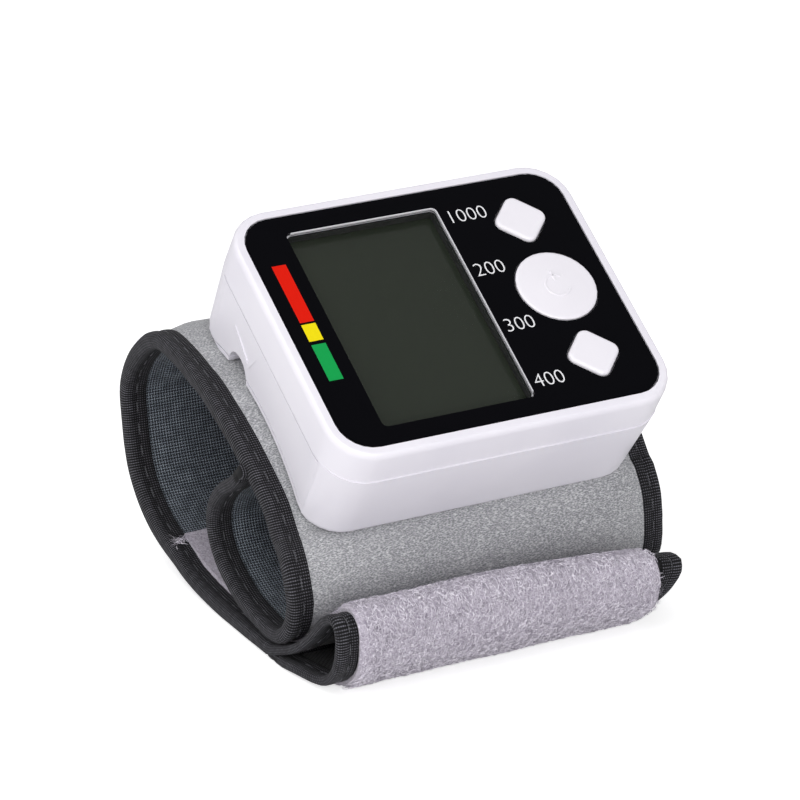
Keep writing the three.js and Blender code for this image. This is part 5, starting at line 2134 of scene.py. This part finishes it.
@dataclass
class Studio:
    """Pale floor, plain soft light and the camera at the photograph's angle."""

    origin: Vector
    lens: float = 187.7
    eye: Triple = (-371.65, -660.82, 282.05)
    gaze: Triple = (0.44446, 0.81591, -0.3698)
    target: Triple = (0.0, 0.0, 0.04)
    # Name, place in metres, side of the square in metres and power in watts
    lamps: tuple[tuple[str, Triple, float, float], ...] = (
        ("lamp_top", (-0.35, 0.05, 0.75), 0.8, 1.95),
        ("lamp_front", (-0.16, -0.86, 0.3), 0.55, 4.3),
        ("lamp_left", (-0.95, -0.1, 0.35), 0.7, 2.7),
    )
    fill: tuple[float, ...] = (0.52, 0.52, 0.53, 1.0)
    floor_tone: tuple[float, ...] = (0.82, 0.82, 0.82, 1.0)
    floor_lift: float = 0.58

    def build(self) -> None:
        """Build the camera, the lamps, the world and the floor."""
        self.build_camera()
        for name, place, size, power in self.lamps:
            self.build_lamp(name, place, size, power)
        self.build_world()
        self.build_floor()

    def build_camera(self) -> None:
        """Put the camera where the photograph was taken from."""
        data = bpy.data.cameras.new("camera")
        data.lens = self.lens
        data.sensor_width = 36.0
        data.clip_start, data.clip_end = 0.05, 20.0
        camera = bpy.data.objects.new("camera", data)
        bpy.context.scene.collection.objects.link(camera)
        camera.location = self.origin + Vector(self.eye) * MM
        camera.rotation_euler = Vector(self.gaze).to_track_quat("-Z", "Y").to_euler()
        bpy.context.scene.camera = camera

    def build_lamp(self, name: str, place: Triple, size: float, power: float) -> None:
        """Hang a square soft lamp that looks at the object.

        Args:
            name: Name of the lamp.
            place: Its place in metres.
            size: Side of the square in metres.
            power: Power in watts.
        """
        data = bpy.data.lights.new(name, "AREA")
        data.shape = "SQUARE"
        data.size = size
        data.energy = power
        lamp = bpy.data.objects.new(name, data)
        bpy.context.scene.collection.objects.link(lamp)
        lamp.location = place
        toward = Vector(self.target) - Vector(place)
        lamp.rotation_euler = toward.to_track_quat("-Z", "Y").to_euler()

    def build_world(self) -> None:
        """Light the scene evenly and show white behind it."""
        world = bpy.data.worlds.new("studio")
        bpy.context.scene.world = world
        world.use_nodes = True
        tree = world.node_tree
        tree.nodes.clear()
        ray = add_node(tree, "LightPath").node.outputs
        direct = {0: ray["Is Camera Ray"], 1: ray["Is Transmission Ray"]}
        seen = add_node(tree, "Math", direct, operation="MAXIMUM")
        place = add_node(tree, "TexCoord", out="Generated")
        height = add_node(tree, "SeparateXYZ", {"Vector": place}, out="Z")
        fade = {"Value": height, "From Min": 0.1, "From Max": 0.75, "To Min": 1.0, "To Max": 0.35}
        sky = add_node(tree, "MapRange", fade)
        mirrored = {"Fac": ray["Is Glossy Ray"], "Color1": self.fill, "Color2": sky}
        gloss = add_node(tree, "MixRGB", mirrored)
        colour = add_node(tree, "MixRGB", {"Fac": seen, "Color1": gloss, "Color2": (1, 1, 1, 1)})
        light = add_node(tree, "Background", {"Color": colour, "Strength": 1.0})
        add_node(tree, "OutputWorld", {"Surface": light})

    def build_floor(self) -> None:
        """Lay a pale floor that is white to the camera and keeps the object's shadow."""
        deselect_all()
        bpy.ops.mesh.primitive_plane_add(size=8.0, location=(0, 0, 0))
        floor = bpy.context.object
        floor.name = "floor"
        material, tree = new_material("floor_pale")
        seen = add_node(tree, "LightPath", out="Is Camera Ray")
        matt = add_node(tree, "BsdfDiffuse", {"Color": self.floor_tone})
        lift = add_node(tree, "MapRange", {"Value": seen, "To Min": 0.0, "To Max": self.floor_lift})
        glow = add_node(tree, "Emission", {"Color": (1, 1, 1, 1), "Strength": lift})
        add_node(tree, "OutputMaterial", {"Surface": add_node(tree, "AddShader", {0: matt, 1: glow})})
        dress(floor, material)


def build_looks() -> Looks:
    """Make every finish once.

    Returns:
        The materials by the name of what they dress.
    """
    finishes = {
        "shell": MouldedPlastic(),
        # Polished: a smoother, brighter skin than the case
        "key": MouldedPlastic("abs_polished_white", "#E9E6EC", "#E6E3E9", 0.3, 0.5, 0.0006),
        # Unpainted grey, a little duller than the case
        "frame": MouldedPlastic("abs_moulded_grey", "#D9DADD", "#CFD0D4", 0.45),
        # Near black with a soft grey highlight
        "black": MouldedPlastic("nylon_moulded_black", "#26282C", "#1E2023", 0.45),
        # Soft and matt, faintly cloudy
        "rubber": MouldedPlastic("silicone_rubber", "#C9CFD4", "#BFC6CC", 0.6, 0.6, 0.01),
        # Green lacquer over fine glass cloth
        "board": MouldedPlastic("glass_epoxy_green", "#1F5C3A", "#1A4F32", 0.35, 0.3, 0.004),
        # Shrunk plastic film, dark and slightly glossy
        "cell": MouldedPlastic("pvc_sleeve_blue", "#3B4A63", "#344259", 0.3, 0.6, 0.002),
        # A sawn edge: pale and dull
        "line": MouldedPlastic("acrylic_edge_frosted", "#CFCED2", "#C4C3C8", 0.5),
        # Black foam, whose dark band inside the window is painted shade for the recess
        "shade_foam": MouldedPlastic("black_foam_painted_shade", "#101211", "#0B0D0C", 0.9, 0.3, 0.02),
        "panel": BackPrintedSheet(),
        "lens": ClearAcrylic(),
        "display": DisplayGlass(),
        # Flat strong colours without gloss
        "white": PrintedInk("ink_white", "#E4E4E6"),
        "red": PrintedInk("ink_red", "#D71703"),
        "yellow": PrintedInk("ink_yellow", "#E9D60C"),
        "green": PrintedInk("ink_green", "#119A4A"),
        "knit": BrushedKnit(),
        "weave": PlainWeave(),
        "tape": RibbedTape(),
        # Finer threads than the lining's, near black, with painted shade between them and a painted
        # highlight on their crowns
        "backing": PlainWeave("nylon_plain_black", "#0A0A0C", "#1F1E22", "#3C3B41", 0.5, 0.1),
        "pile": LoopPile(),
        # Loose threads, paler than the pile below them
        "nap": LoopPile("nylon_loop_threads", "#9A93A1", "#C6C0CB", "#ECE8EF", 0.5, 0.02),
        "thread": SewingThread(),
        "steel": PlatedSteel(),
    }
    return {name: finish.build() for name, finish in finishes.items()}


def main() -> None:
    """Load the frame, build the pieces in order and report them."""
    logging.basicConfig(level=logging.INFO, format="%(name)s: %(message)s")
    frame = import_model()
    bpy.context.scene.view_settings.view_transform = "Standard"
    low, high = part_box("face_panel")
    normal = Vector((0.0, -math.sin(REST_TILT), math.cos(REST_TILT)))
    origin = (low + high) / 2 + normal * 0.5 * MM
    Studio(origin).build()
    looks = build_looks()
    unit = MeasuringUnit(Matrix.Translation(origin) @ Matrix.Rotation(REST_TILT, 4, "X"))
    made = unit.build(looks, frame["nodes"])
    made += InnerWorks().build(looks, frame["nodes"])
    cuff = CuffBand(origin)
    made += cuff.build(looks)
    made += ClosingStrap(cuff).build(looks)
    for item in made:
        log.info("%s: %d faces", item.name, len(item.data.polygons))
    deselect_all()


if __name__ == "__main__":
    main()
